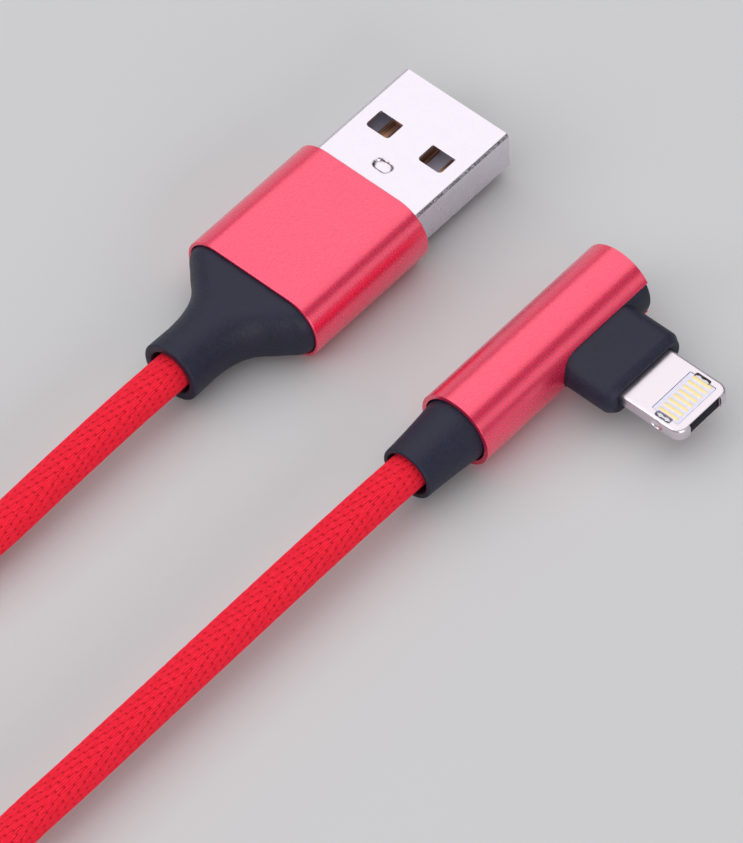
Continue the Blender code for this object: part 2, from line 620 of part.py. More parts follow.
def make_elbow_body(looks):
    """The moulded core: a hollow cylinder in the tube, a filler in the slot, and the neck
    that carries the phone plug, with a passage for it."""
    radius = TUBE_DIAMETER / 2 - TUBE_WALL - FIT
    y0 = TUBE_Y0 + CORE_TENON + FIT
    y1 = TUBE_Y1
    centre = (TUBE_X, TUBE_Z)
    rings = [along_y(circle(radius, 40), centre[0], y, centre[1]) for y in (y0, y1)]
    body = skin("elbow_body", rings, looks["moulding"], smooth_angle=40)

    rim = TUBE_DIAMETER / 2 - CORE_SPARE
    lift = math.asin(NECK_HEIGHT / 2 / rim)
    filler = [(rim * math.cos(lift * (k / 4 - 1)), rim * math.sin(lift * (k / 4 - 1)))
              for k in range(9)]
    filler = [(0.0, -NECK_HEIGHT / 2)] + filler + [(0.0, NECK_HEIGHT / 2)]
    rings = [along_y(filler, centre[0], y, centre[1]) for y in (PLUG_Y, y1)]
    combine(body, skin("filler_solid", rings), "UNION")

    stations = ((TUBE_X, 0.0), (FACE_X - NECK_BEVEL, 0.0),
                (FACE_X - 0.35 * NECK_BEVEL, -0.3 * NECK_BEVEL), (FACE_X, -0.9 * NECK_BEVEL))
    rings = [along_x(neck_outline(grown), x, PLUG_Y, TUBE_Z) for x, grown in stations]
    combine(body, skin("neck_solid", rings), "UNION")

    bore = circle(radius - CORE_WALL, 32)
    rings = [along_y(bore, centre[0], y, centre[1]) for y in (y0 - MM, y1 - CORE_CAP)]
    combine(body, skin("bore_cutter", rings), "DIFFERENCE")
    combine(body, block("plug_cutter",
                        (TUBE_X, PLUG_Y - PLUG_WIDTH / 2 - FIT, TUBE_Z - PLUG_THICKNESS / 2 - FIT),
                        (FACE_X + MM, PLUG_Y + PLUG_WIDTH / 2 + FIT,
                         TUBE_Z + PLUG_THICKNESS / 2 + FIT)), "DIFFERENCE")
    return body


def make_elbow_boot(looks):
    """The tapered strain relief, with a tenon in the tube."""
    mouth = ELBOW_BOOT_MOUTH / 2
    end = ELBOW_BOOT_END / 2
    collar_y = TUBE_Y0 - ELBOW_BOOT_LENGTH
    stations = [(TUBE_Y0 + CORE_TENON, mouth), (TUBE_Y0 + 0.5 * MM, mouth)]
    for along in (0.15, 0.4, 0.65, 0.85):
        narrowed = along * (1.55 - 0.55 * along)
        stations.append((TUBE_Y0 - ELBOW_BOOT_LENGTH * along, mouth + (end - mouth) * narrowed))
    stations += [(collar_y + BOOT_EDGE, end), (collar_y, end - BOOT_EDGE)]
    return turned_wall("elbow_boot", stations, CORD_BORE, (TUBE_X, TUBE_Z), looks["moulding"])


def retainer_box(side, spare):
    """Corners of the retainer at one end of the contact window, grown by a clearance. It
    stands in a pocket beside the window, level with the frame's upper face."""
    x = TIP_X - PLUG_WINDOW_SETBACK - PLUG_WINDOW_LENGTH / 2
    y = PLUG_Y + side * (PLUG_WINDOW_WIDTH / 2 + RETAINER_WIDTH / 2 + FINE)
    top = TUBE_Z + PLUG_THICKNESS / 2
    low = (x - RETAINER_LENGTH / 2 - spare, y - RETAINER_WIDTH / 2 - spare,
           top - RETAINER_HEIGHT - spare)
    high = (x + RETAINER_LENGTH / 2 + spare, y + RETAINER_WIDTH / 2 + spare, top + spare)
    return low, high


def make_plug_frame(looks):
    """The steel frame of the phone plug: rounded long edges and tip corners, the contact
    window right through it, a detent notch in each edge and a slot in its nose."""
    tip_start = TIP_X - PLUG_TIP_CORNER
    stations = [(FACE_X - PLUG_BURIED, 0.0, 0.0), (tip_start, 0.0, 0.0)]
    for k in range(1, 6):
        angle = math.pi / 2 * k / 5
        flat = 0.0 if k < 5 else 0.12 * MM
        stations.append((tip_start + PLUG_TIP_CORNER * math.sin(angle),
                         PLUG_TIP_CORNER * (1 - math.cos(angle)), flat))
    rings = []
    for x, inset, flat in stations:
        outline = rounded_rectangle(PLUG_WIDTH - 2 * inset, PLUG_THICKNESS - 2 * flat,
                                    PLUG_ROUND - flat, 5)
        rings.append(along_x(outline, x, PLUG_Y, TUBE_Z))
    frame = skin("plug_frame", rings, looks["frame"], smooth_angle=40)

    window_x1 = TIP_X - PLUG_WINDOW_SETBACK
    window = rounded_rectangle(PLUG_WINDOW_LENGTH, PLUG_WINDOW_WIDTH, 0.3 * MM, 3)
    rings = [[Vector((window_x1 - PLUG_WINDOW_LENGTH / 2 + a, PLUG_Y + b, TUBE_Z + side * PLUG_THICKNESS))
              for a, b in window] for side in (-1, 1)]
    combine(frame, skin("plug_window_cutter", rings), "DIFFERENCE")
    combine(frame, block("nose_cutter",
                         (TIP_X - NOSE_SLOT_DEPTH, PLUG_Y - NOSE_SLOT_WIDTH / 2,
                          TUBE_Z - NOSE_SLOT_HEIGHT / 2),
                         (TIP_X + MM, PLUG_Y + NOSE_SLOT_WIDTH / 2,
                          TUBE_Z + NOSE_SLOT_HEIGHT / 2)), "DIFFERENCE")
    for side in (-1, 1):
        low, high = retainer_box(side, FINE)
        combine(frame, block(f"pocket_cutter_{side}", low, high), "DIFFERENCE")
        y = PLUG_Y + side * (PLUG_WIDTH / 2 + NOTCH_RADIUS - NOTCH_DEPTH)
        notch = circle(NOTCH_RADIUS, 16, math.pi / 16)
        rings = [[Vector((TIP_X - NOTCH_SETBACK + a, y + b, TUBE_Z + way * PLUG_THICKNESS))
                  for a, b in notch] for way in (-1, 1)]
        combine(frame, skin(f"notch_cutter_{side}", rings), "DIFFERENCE")
    return frame


def make_plug_contacts(looks):
    """The insulating carrier in the window, grooved for eight contacts on each face, the
    contacts, the retainers at the ends of the upper row, and the insert in the nose."""
    face = PLUG_THICKNESS / 2 - 2 * FINE
    groove = PIN_THICKNESS + 2 * FINE
    half = PLUG_WINDOW_WIDTH / 2 - FINE
    row = (PIN_COUNT - 1) / 2
    upper = [(half, face)]
    for index in range(PIN_COUNT):
        y = (row - index) * PIN_PITCH
        wide = PIN_WIDTH / 2 + FINE
        upper += [(y + wide, face), (y + wide, face - groove),
                  (y - wide, face - groove), (y - wide, face)]
    upper.append((-half, face))
    outline = upper + [(a, -b) for a, b in reversed(upper)]
    window_x1 = TIP_X - PLUG_WINDOW_SETBACK
    middle = window_x1 - PLUG_WINDOW_LENGTH / 2
    reach = PLUG_WINDOW_LENGTH / 2 - FINE
    corner = 0.3 * MM
    rings = []
    for x, narrow in ((middle - reach, corner), (middle - reach + corner, 0.0),
                      (middle + reach - corner, 0.0), (middle + reach, corner)):
        ends = [(max(min(a, half - narrow), narrow - half), b) for a, b in outline]
        rings.append(along_x(ends, x, PLUG_Y, TUBE_Z))
    skin("plug_carrier", rings, looks["carrier"])

    for side, row_name in ((1, "top"), (-1, "bottom")):
        outer = TUBE_Z + side * (face + FINE)
        inner = TUBE_Z + side * (face + FINE - PIN_THICKNESS)
        for index in range(PIN_COUNT):
            y = PLUG_Y + (index - row) * PIN_PITCH
            block(f"plug_contact_{row_name}_{index + 1}",
                  (middle - PIN_LENGTH / 2, y - PIN_WIDTH / 2, min(inner, outer)),
                  (middle + PIN_LENGTH / 2, y + PIN_WIDTH / 2, max(inner, outer)),
                  looks["gold"])

    for side, name in ((-1, "near"), (1, "far")):
        low, high = retainer_box(side, 0.0)
        block(f"plug_retainer_{name}", low, high, looks["frame"], bevel=0.05 * MM)
    block("plug_nose_insert",
          (TIP_X - NOSE_SLOT_DEPTH + FINE, PLUG_Y - NOSE_SLOT_WIDTH / 2 + FINE,
           TUBE_Z - NOSE_SLOT_HEIGHT / 2 + FINE),
          (TIP_X - 2 * FINE, PLUG_Y + NOSE_SLOT_WIDTH / 2 - FINE,
           TUBE_Z + NOSE_SLOT_HEIGHT / 2 - FINE), looks["insulator"])


def make_elbow_inside(looks):
    """Board, chip, jacket end, ferrule and the four wires between them."""
    board_x1 = FACE_X - PLUG_BURIED - FIT
    board_y0 = PLUG_Y - BOARD_WIDTH / 2
    block("plug_board", (TUBE_X - BOARD_REAR, board_y0, TUBE_Z - BOARD_THICKNESS / 2),
          (board_x1, board_y0 + BOARD_WIDTH, TUBE_Z + BOARD_THICKNESS / 2), looks["board"])
    chip_z = TUBE_Z + BOARD_THICKNESS / 2 + FINE
    block("plug_chip", (TUBE_X - CHIP_SIZE / 2, PLUG_Y - CHIP_SIZE / 2, chip_z),
          (TUBE_X + CHIP_SIZE / 2, PLUG_Y + CHIP_SIZE / 2, chip_z + CHIP_HEIGHT), looks["chip"])

    centre = (TUBE_X, TUBE_Z)
    ferrule_y = TUBE_Y0 + CORE_TENON + FIT
    jacket_y = ferrule_y + CRIMP_LENGTH
    jacket_end("elbow_jacket_end", centre, TUBE_Y0 - ELBOW_BOOT_LENGTH, jacket_y, looks)
    crimp_ring("elbow_ferrule", centre, ferrule_y, looks)
    for index, name in enumerate(("power", "data_minus", "data_plus", "ground")):
        x = TUBE_X + (index - 1.5) * WIRE_PITCH
        start = Vector((x, jacket_y + FIT, TUBE_Z))
        end = Vector((x, board_y0 - FIT, TUBE_Z))
        bow = Vector((0.0, (end.y - start.y) / 3, 0.25 * MM * (-1) ** index))
        route = [start, start + bow, end - Vector((0.0, bow.y, -bow.z)), end]
        tube(f"elbow_wire_{name}", smooth_path(route, 2 * WIRE_DIAMETER), WIRE_DIAMETER, 0,
             looks["wire"])


def main():
    for obj in list(bpy.data.objects):
        bpy.data.objects.remove(obj)
    looks = make_materials()
    make_usb_sleeve(looks)
    make_usb_mould(looks)
    make_usb_boot(looks)
    make_usb_shell(looks)
    make_usb_tongue(looks)
    make_usb_contacts(looks)
    make_usb_inside(looks)
    make_elbow_sleeve(looks)
    make_elbow_body(looks)
    make_elbow_boot(looks)
    make_plug_frame(looks)
    make_plug_contacts(looks)
    make_elbow_inside(looks)
    make_cord(looks)


main()
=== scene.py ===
# %% [markdown]
# # A braided charging cable
#
# The cable has three parts to dress: a flat USB plug, a right-angle phone plug on a round
# tube, and a braided cord between them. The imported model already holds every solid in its
# place. This lesson gives those solids the surfaces, edges and finishes of the real object.
#
# Lengths are in metres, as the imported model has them. `MM` turns millimetres into metres.

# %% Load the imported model
import math

import bmesh
import bpy
import numpy as np
from mathutils import Matrix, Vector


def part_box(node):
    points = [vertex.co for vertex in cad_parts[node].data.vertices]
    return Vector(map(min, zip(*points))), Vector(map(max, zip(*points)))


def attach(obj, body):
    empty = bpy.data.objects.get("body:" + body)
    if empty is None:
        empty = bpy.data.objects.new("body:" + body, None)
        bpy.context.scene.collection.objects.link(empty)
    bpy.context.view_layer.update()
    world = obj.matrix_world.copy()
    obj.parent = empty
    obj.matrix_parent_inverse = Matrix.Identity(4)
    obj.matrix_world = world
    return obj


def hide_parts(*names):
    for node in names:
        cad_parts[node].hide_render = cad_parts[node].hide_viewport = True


MM = 0.001
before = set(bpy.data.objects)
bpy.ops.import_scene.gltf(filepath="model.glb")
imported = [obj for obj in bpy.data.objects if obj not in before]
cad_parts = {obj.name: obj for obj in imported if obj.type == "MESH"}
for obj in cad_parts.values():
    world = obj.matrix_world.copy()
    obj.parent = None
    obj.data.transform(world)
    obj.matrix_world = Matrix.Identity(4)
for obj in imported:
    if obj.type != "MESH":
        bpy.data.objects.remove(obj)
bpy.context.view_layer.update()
print("solids loaded:", len(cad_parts))

# %% [markdown]
# ## The camera
#
# The two plugs are seen from their right and a little more than halfway up, through a long
# lens that keeps their edges nearly parallel. The camera is given by its place and its three
# axes, because a small roll is part of the view.

# %% Camera at the photograph's viewing angle
AZIMUTH, ELEVATION, ROLL = np.radians((44.26, 52.29, -3.22))
STAND_OFF = 656.4 * MM  # from the USB plug's nose, towards the viewer
AIM_ACROSS = -7.56 * MM
AIM_UP = -26.66 * MM
FOCAL_PIXELS = 7500.0
FRAME_HEIGHT = 843.0
USB_NOSE = np.array((-15.275, 18.615, 3.475)) * MM  # middle of the USB shell's open end

towards = np.array((math.sin(AZIMUTH) * math.cos(ELEVATION),
                    -math.cos(AZIMUTH) * math.cos(ELEVATION), math.sin(ELEVATION)))
level = np.array((math.cos(AZIMUTH), math.sin(AZIMUTH), 0.0))
upright = np.cross(towards, level)
across = level * math.cos(ROLL) + upright * math.sin(ROLL)
upward = upright * math.cos(ROLL) - level * math.sin(ROLL)
stand = USB_NOSE + towards * STAND_OFF + across * AIM_ACROSS + upward * AIM_UP

lens = bpy.data.cameras.new("view")
lens.sensor_width = 36.0
lens.lens = FOCAL_PIXELS * lens.sensor_width / FRAME_HEIGHT
lens.clip_start = 0.01


def add_object(name, data, pose=None):
    """Puts an object in the scene, with its three axes and its place as a pose's columns."""
    made = bpy.data.objects.new(name, data)
    if pose is not None:
        full = np.eye(4)
        full[:3] = np.stack(pose, axis=1)
        made.matrix_world = Matrix(full.tolist())
    bpy.context.scene.collection.objects.link(made)
    return made


bpy.context.scene.camera = add_object("view", lens, (across, upward, towards, stand))
bpy.context.scene.view_settings.view_transform = "Standard"
print("camera stands at", np.round(stand / MM, 1), "mm with a lens of", round(lens.lens, 1))

# %% [markdown]
# ## Surfaces from grids of numbers
#
# Nearly every piece here is a grid of points: rows along it and columns around it. One helper
# turns such a grid into a mesh. The columns wrap round, as on a tube. Rows may wrap too, which
# makes a wall round a bore.

# %% Grid to mesh
def quads_between(low, high):
    """The faces between rows of point numbers and the rows that follow them."""
    return np.stack((low, np.roll(low, -1, axis=1), np.roll(high, -1, axis=1), high), axis=-1)


def grid_piece(name, points, wrap_rows=False, cap=False, uv=None, sharp=35.0):
    """A closed mesh through a (rows, columns, 3) grid whose columns wrap round. cap closes the
    first and last rows. uv holds the (columns + 1) values across and the (rows) along."""
    rows, columns = points.shape[:2]
    index = np.arange(rows * columns).reshape(rows, columns)
    low = index if wrap_rows else index[:-1]
    high = np.roll(index, -1, axis=0) if wrap_rows else index[1:]
    faces = quads_between(low, high).reshape(-1, 4).tolist()
    around = 4 * len(faces)
    if cap:
        faces += [index[0][::-1].tolist(), index[-1].tolist()]
    mesh = bpy.data.meshes.new(name)
    mesh.from_pydata(points.reshape(-1, 3).tolist(), [], faces)
    if uv is not None:
        u, v = uv
        quad_u = np.stack((u[:-1], u[1:], u[1:], u[:-1]), axis=-1)
        quad_v = np.stack((v[:-1], v[:-1], v[1:], v[1:]), axis=-1)
        corners = np.zeros((len(mesh.loops), 2))
        corners[:around, 0] = np.tile(quad_u, (len(low), 1)).ravel()
        corners[:around, 1] = np.repeat(quad_v, columns, axis=0).ravel()
        mesh.uv_layers.new(name="UVMap").data.foreach_set("uv", corners.ravel())
    return link_piece(name, mesh, sharp)


def link_piece(name, mesh, sharp):
    """Puts a mesh in the scene with outward faces, smooth but for edges over an angle."""
    shape = bmesh.new()
    shape.from_mesh(mesh)
    bmesh.ops.recalc_face_normals(shape, faces=shape.faces)
    shape.to_mesh(mesh)
    shape.free()
    mesh.shade_smooth()
    mesh.set_sharp_from_angle(angle=math.radians(sharp))
    return add_object(name, mesh)


def rounded_loop(width, height, radius, steps):
    """Points round a rectangle with round corners: each corner's middle plus a quarter turn.
    A radius of half of both sides gives a circle."""
    turn = np.arange(4 * steps)
    quarter = turn // steps
    angle = np.pi / 2 * (quarter + (turn % steps) / (steps - 1))
    side_x = np.where((quarter == 0) | (quarter == 3), 1, -1)
    side_y = np.where(quarter < 2, 1, -1)
    x = side_x * (width / 2 - radius) + radius * np.cos(angle)
    y = side_y * (height / 2 - radius) + radius * np.sin(angle)
    return np.stack((x, y), axis=-1)


def inset_loops(width, height, radius, insets, steps):
    """The same rounded rectangle, drawn in by each inset in turn."""
    return np.stack([rounded_loop(width - 2 * i, height - 2 * i, max(radius - i, 0.01 * MM), steps)
                     for i in insets])


def round_over(edge, steps):
    """How far a rounded edge goes inward and upward over its quarter turn."""
    turn = np.linspace(0, np.pi / 2, steps)
    return edge * (1 - np.cos(turn)), edge * np.sin(turn)


def rows_along(axis, loops, at, centre):
    """Loops of (across, up) pairs as points, each square to an axis at its own place along it,
    and round a centre on the other two."""
    loops = np.asarray(loops)
    parts = [centre[0] + loops[..., 0], centre[1] + loops[..., 1]]
    parts.insert(axis, np.broadcast_to(np.asarray(at, float)[:, None], loops.shape[:2]))
    return np.stack(parts, axis=-1)


def eased(knots_x, knots_y, x):
    """A smooth curve through knots: a cubic on each span."""
    knots_x, knots_y = np.asarray(knots_x, float), np.asarray(knots_y, float)
    slope = np.gradient(knots_y, knots_x)
    k = np.clip(np.searchsorted(knots_x, x) - 1, 0, len(knots_x) - 2)
    span = knots_x[k + 1] - knots_x[k]
    t = (x - knots_x[k]) / span
    return ((2 * t**3 - 3 * t**2 + 1) * knots_y[k] + (t**3 - 2 * t**2 + t) * span * slope[k]
            + (3 * t**2 - 2 * t**3) * knots_y[k + 1] + (t**3 - t**2) * span * slope[k + 1])


def carve(piece, cutters, sharp=35.0):
    """Cuts solids out of a piece, removes them, and marks the edges over an angle as sharp."""
    for cutter in cutters:
        change = piece.modifiers.new(cutter.name, "BOOLEAN")
        change.operation, change.object, change.solver = "DIFFERENCE", cutter, "EXACT"
    graph = bpy.context.evaluated_depsgraph_get()
    cut = bpy.data.meshes.new_from_object(piece.evaluated_get(graph))
    piece.modifiers.clear()
    piece.data = cut
    for cutter in cutters:
        bpy.data.objects.remove(cutter)
    cut.set_sharp_from_angle(angle=math.radians(sharp))
    return piece


def soften(piece, width, angle):
    """Rounds edges sharper than an angle, and lets large flat faces set their edges' shading."""
    edge = piece.modifiers.new("edges", "BEVEL")
    edge.width, edge.segments = width, 3
    edge.limit_method, edge.angle_limit = "ANGLE", math.radians(angle)
    edge.harden_normals = True
    piece.modifiers.new("flat_faces", "WEIGHTED_NORMAL").keep_sharp = True
    return piece


def place(piece, slot, material, *nodes):
    """Gives a piece its finish and its body, and hides the solids that it stands for."""
    piece.data.materials.clear()
    piece.data.materials.append(material)
    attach(piece, "root")
    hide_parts(*nodes)
    print(f"{piece.name}: {len(piece.data.polygons)} faces")

# %% [markdown]
# ## Where the plugs are
#
# The solids say where each plug lies, so its place and overall sizes are read from their
# boxes. Finer sizes are written as numbers where they are used.

# %% Read the plugs' places
def node_box(name):
    """A solid's lowest and highest corners, as arrays."""
    low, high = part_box(name)
    return np.array(low), np.array(high)


sleeve_low, sleeve_high = node_box("usb_sleeve")
tube_low, tube_high = node_box("elbow_sleeve")
shell_low, shell_high = node_box("usb_shell")
usb_boot_low, _ = node_box("usb_boot")
elbow_boot_low, _ = node_box("elbow_boot")
body_low, body_high = node_box("elbow_body")
plug_low, plug_high = node_box("plug_frame")

USB_AXIS = (sleeve_low[::2] + sleeve_high[::2]) / 2  # its x and z
USB_X, USB_Z = USB_AXIS
REAR_Y, FRONT_Y = sleeve_low[1], sleeve_high[1]
NOSE_Y = shell_high[1]
TUBE_RADIUS = (tube_high[2] - tube_low[2]) / 2
TUBE_X = tube_low[0] + TUBE_RADIUS
TUBE_Z = (tube_low[2] + tube_high[2]) / 2
TUBE_Y0, TUBE_Y1 = tube_low[1], tube_high[1]
PLUG_Y = (plug_low[1] + plug_high[1]) / 2
FACE_X, TIP_X = body_high[0], plug_high[0]
DIMPLE_AT = (USB_X - 0.05 * MM, NOSE_Y - 9.71 * MM)  # pressed into the shell's top
DIMPLE_SIZE = (1.98 * MM, 1.34 * MM)
print("USB plug's axis at", np.round(USB_AXIS / MM, 3), "mm")
print("tube's axis at", np.round((TUBE_X / MM, TUBE_Z / MM), 3), "mm")

# %% [markdown]
# ## The route of the cord
#
# The cord runs from the USB plug to a coil of spare length and back to the phone plug. These
# are the model's own points, and a smooth curve through them bends as a real cord does.

# %% Route points, in metres
CORD_DIAMETER = 3.55 * MM
CORD_SOCKET = 1.0 * MM  # how far the free cord reaches into each boot
COIL_TURNS = 3
COIL_PITCH = CORD_DIAMETER + 0.55 * MM
COIL_INNER = 12.0 * MM
COIL_CENTRE = (6.2 * MM, -94.0 * MM)
COIL_POINTS = 24
USB_ROUTE = (  # offsets from the plug's axis and the sleeve's rear, heights
    (-0.08, -16.0, 3.43), (-0.05, -24.0, 3.25), (-0.05, -33.0, 2.9), (-0.8, -42.0, 2.45),
    (-3.7, -52.0, 2.07), (-8.8, -62.5, 1.93), (-14.3, -73.0, 1.9), (-18.2, -83.0, 1.9))
ELBOW_ROUTE = (
    (-0.25, -11.0, 3.7), (-0.3, -21.0, 3.6), (-0.33, -34.0, 3.4), (-0.33, -46.0, 3.25),
    (-0.25, -54.5, 3.25), (1.2, -63.5, 3.6), (4.3, -72.5, 4.5), (7.4, -81.0, 5.6))


def coil_route():
    """Two layers of turns: the radius falls steadily and rises again, and the height eases up
    one layer in the half turn between."""
    turn = np.arange((2 * COIL_TURNS + 0.5) * COIL_POINTS + 1) / COIL_POINTS
    rise = np.clip((turn - COIL_TURNS) / 0.5, 0, 1)
    lift = rise * rise * (3 - 2 * rise)
    radius = COIL_INNER + COIL_PITCH * np.abs(turn - COIL_TURNS - 0.25)
    angle = np.pi + 2 * np.pi * turn
    low = CORD_DIAMETER / 2 + 0.05 * MM
    points = np.stack((USB_X + COIL_CENTRE[0] + radius * np.cos(angle),
                       REAR_Y + COIL_CENTRE[1] + radius * np.sin(angle),
                       low + lift * COIL_PITCH), axis=-1)
    lead = np.array((0.0, CORD_DIAMETER, 0.0))
    return np.concatenate(([points[0] + lead], points, [points[-1] + lead]))


def run_route(start, axis_x, offsets):
    """A free run's points: its start in the boot, then the offsets from the plug."""
    offsets = np.array(offsets) * MM
    return np.concatenate(([start], offsets + (axis_x, REAR_Y, 0.0)))


def travelled(line):
    """The distance along a line to each of its points: the sum of the steps before it."""
    steps = np.linalg.norm(np.diff(line, axis=0), axis=1)
    return np.concatenate(([0.0], np.cumsum(steps)))


def resample(line, line_at, at):
    """Points of a line at given distances along it."""
    return np.stack([np.interp(at, line_at, line[:, k]) for k in range(3)], axis=-1)


def smooth_line(route, spacing):
    """Points at even spacing on a Catmull-Rom curve through the route's points."""
    padded = np.concatenate(([2 * route[0] - route[1]], route, [2 * route[-1] - route[-2]]))
    a, b, c, d = padded[:-3, None], padded[1:-2, None], padded[2:-1, None], padded[3:, None]
    t = (np.arange(40) / 40)[None, :, None]
    dense = 0.5 * (2 * b + (c - a) * t + (2 * a - 5 * b + 4 * c - d) * t**2
                   + (3 * b - a - 3 * c + d) * t**3)
    dense = np.concatenate((dense.reshape(-1, 3), [route[-1]]))
    dense_at = travelled(dense)
    even = np.linspace(0, dense_at[-1], int(dense_at[-1] / spacing) + 1)
    return resample(dense, dense_at, even)


usb_start = np.array((USB_X, usb_boot_low[1] + CORD_SOCKET, USB_Z))
elbow_start = np.array((TUBE_X - 0.13 * MM, elbow_boot_low[1] + CORD_SOCKET, TUBE_Z))
coil = coil_route()
whole_route = np.concatenate((run_route(usb_start, USB_X, USB_ROUTE), coil,
                              run_route(elbow_start, TUBE_X, ELBOW_ROUTE)[::-1]))
cord_line = smooth_line(whole_route, 0.25 * MM)
cord_at = travelled(cord_line)
CORD_LENGTH = cord_at[-1]
print(f"cord: {CORD_LENGTH:.4f} m of free cord")

# %% [markdown]
# ## The braid
#
# The cord is a jacket in a sleeve of fine red yarn, in narrow rows along the cord. In each row
# a float of yarn runs about two and a half millimetres and dives under, which leaves a short
# dark nick. The middle row faces the viewer. Away from it each row's nicks sit a third of a
# float behind those of the row before, so they spread to both sides in steps.
#
# A bump alone would vanish at the outline, so the two visible runs are real relief: a tube
# whose radius falls at the nicks and between the rows. The coil is a plain tube. All of it
# takes one material, which paints shade into the nicks and seams from the UV map.

# %% Braid tubes
ROWS = 52  # rows of yarn round the cord
STEP = 0.856 * MM  # from one row's nick to the next row's
FLOAT_STEPS = 3  # steps in one float
NICK_RINGS = np.array((-0.08, 0.0, 0.08, 0.43)) * MM  # rings of points at and between nicks
ROW_CROWN = 0.05 * MM
NICK_DEPTH, NICK_REACH = 0.045 * MM, 0.07 * MM
SEAM_DEPTH, SEAM_REACH = 0.04 * MM, 0.13  # the reach is in rows
COIL_SINK = 0.03 * MM  # the plain tube's radius lies between crowns and seams


def moving_axes(line):
    """For each point of a line, the side that faces the viewer and the side square to it."""
    direction = np.gradient(line, axis=0)
    direction /= np.linalg.norm(direction, axis=1, keepdims=True)
    facing = towards - direction * (direction @ towards)[:, None]
    facing /= np.linalg.norm(facing, axis=1, keepdims=True)
    return facing, np.cross(direction, facing)


def round_tube(line, axes, angle, radius):
    """Rings of points round a line."""
    facing, third = (axis[:, None] for axis in axes)
    angle = angle[None, :, None]
    return line[:, None] + radius[..., None] * (np.cos(angle) * facing + np.sin(angle) * third)


def braid_depth(row, along):
    """How far the yarn's surface lies below the outermost: at the nick that ends each float,
    along the seam that steps from one nick to the next, and away from each row's crown."""
    nearest = np.round(row)
    off = row - nearest
    phase = np.mod(along / STEP + np.abs(nearest), FLOAT_STEPS)
    gap = np.minimum(phase, FLOAT_STEPS - phase) * STEP
    nick = np.exp(-(gap / NICK_REACH)**2) * np.clip((0.60 - np.abs(off)) / 0.15, 0, 1)
    inward = np.sign(nearest) * off < 0
    stepped = np.where(inward, phase < 1, phase > FLOAT_STEPS - 1)
    seam = np.exp(-((0.5 - np.abs(off)) / SEAM_REACH)**2)
    return (ROW_CROWN * (2 * off)**2 + NICK_DEPTH * nick
            + SEAM_DEPTH * seam * np.where(stepped, 1.0, 0.25))


def braid_tube(name, start, stop, sense, shift, columns, relief):
    """A tube along part of the cord. With relief its radius falls by the braid's depth."""
    if relief:
        first = np.arange(0, stop - start, STEP)[:, None] + np.mod(shift, STEP)
        at = start + np.unique(np.round((first + NICK_RINGS[None]).ravel(), 7))
        at = np.concatenate(([start], at[(at > start) & (at < stop)], [stop]))
    else:
        at = np.linspace(start, stop, int((stop - start) / STEP) + 1)
    line, *axes = (resample(part, cord_at, at) for part in (cord_line, *cord_axes))
    row = np.arange(columns + 1) / columns * ROWS - ROWS / 2
    along = (at - start) * sense + shift
    depth = np.full((len(at), columns), COIL_SINK)
    if relief:
        depth = braid_depth(row[:-1][None, :], along[:, None])
    points = round_tube(line, axes, row[:-1] * 2 * np.pi / ROWS, CORD_DIAMETER / 2 - depth)
    return grid_piece(name, points, cap=True, uv=(row / ROWS, along / STEP / ROWS), sharp=80)


cord_axes = moving_axes(cord_line)
coil_start, coil_stop = (cord_at[np.argmin(np.linalg.norm(cord_line - end, axis=1))]
                         for end in coil[[0, -1]])
braids = [
    braid_tube("braid_usb_run", 0.0, coil_start, -1, -0.5 * STEP, 4 * ROWS, True),
    braid_tube("braid_coil", coil_start, coil_stop, 1, 0.0, 64, False),
    braid_tube("braid_elbow_run", coil_stop, CORD_LENGTH, 1, 0.0, 4 * ROWS, True),
]
print("braid triangles:", [2 * len(piece.data.polygons) for piece in braids])

# %% [markdown]
# ## The jacket inside the braid
#
# Inside the braid the cord is a smooth round jacket. It is one unbroken tube from plug to
# plug, so it stands in for the cord's solids, with the braids as pieces on it.

# %% Jacket
JACKET_DIAMETER = CORD_DIAMETER - 0.4 * MM

pick = np.append(np.arange(0, len(cord_line) - 4, 4), len(cord_line) - 1)
jacket_path = cord_line[pick]
jacket = grid_piece("cord_jacket", round_tube(
    jacket_path, [axis[pick] for axis in cord_axes], 2 * np.pi * np.arange(16) / 16,
    np.full((len(pick), 16), JACKET_DIAMETER / 2)), cap=True, sharp=80)

# %% [markdown]
# ## Finishes
#
# Each finish is one node material. Fine texture comes from noise on Object coordinates, so it
# keeps its real size on every piece. A node's output can be added or multiplied like a number,
# and each such step makes one more node of arithmetic.

# %% Material helpers
class Value:
    """A node's output, with arithmetic that adds nodes."""

    def __init__(self, finish, socket):
        self.finish, self.socket = finish, socket

    def __rsub__(self, other):
        return self.finish.math("SUBTRACT", other, self)


for sign, step in (("add", "ADD"), ("sub", "SUBTRACT"), ("mul", "MULTIPLY"),
                   ("truediv", "DIVIDE"), ("pow", "POWER"), ("abs", "ABSOLUTE")):
    setattr(Value, f"__{sign}__",
            lambda self, *others, step=step: self.finish.math(step, self, *others))


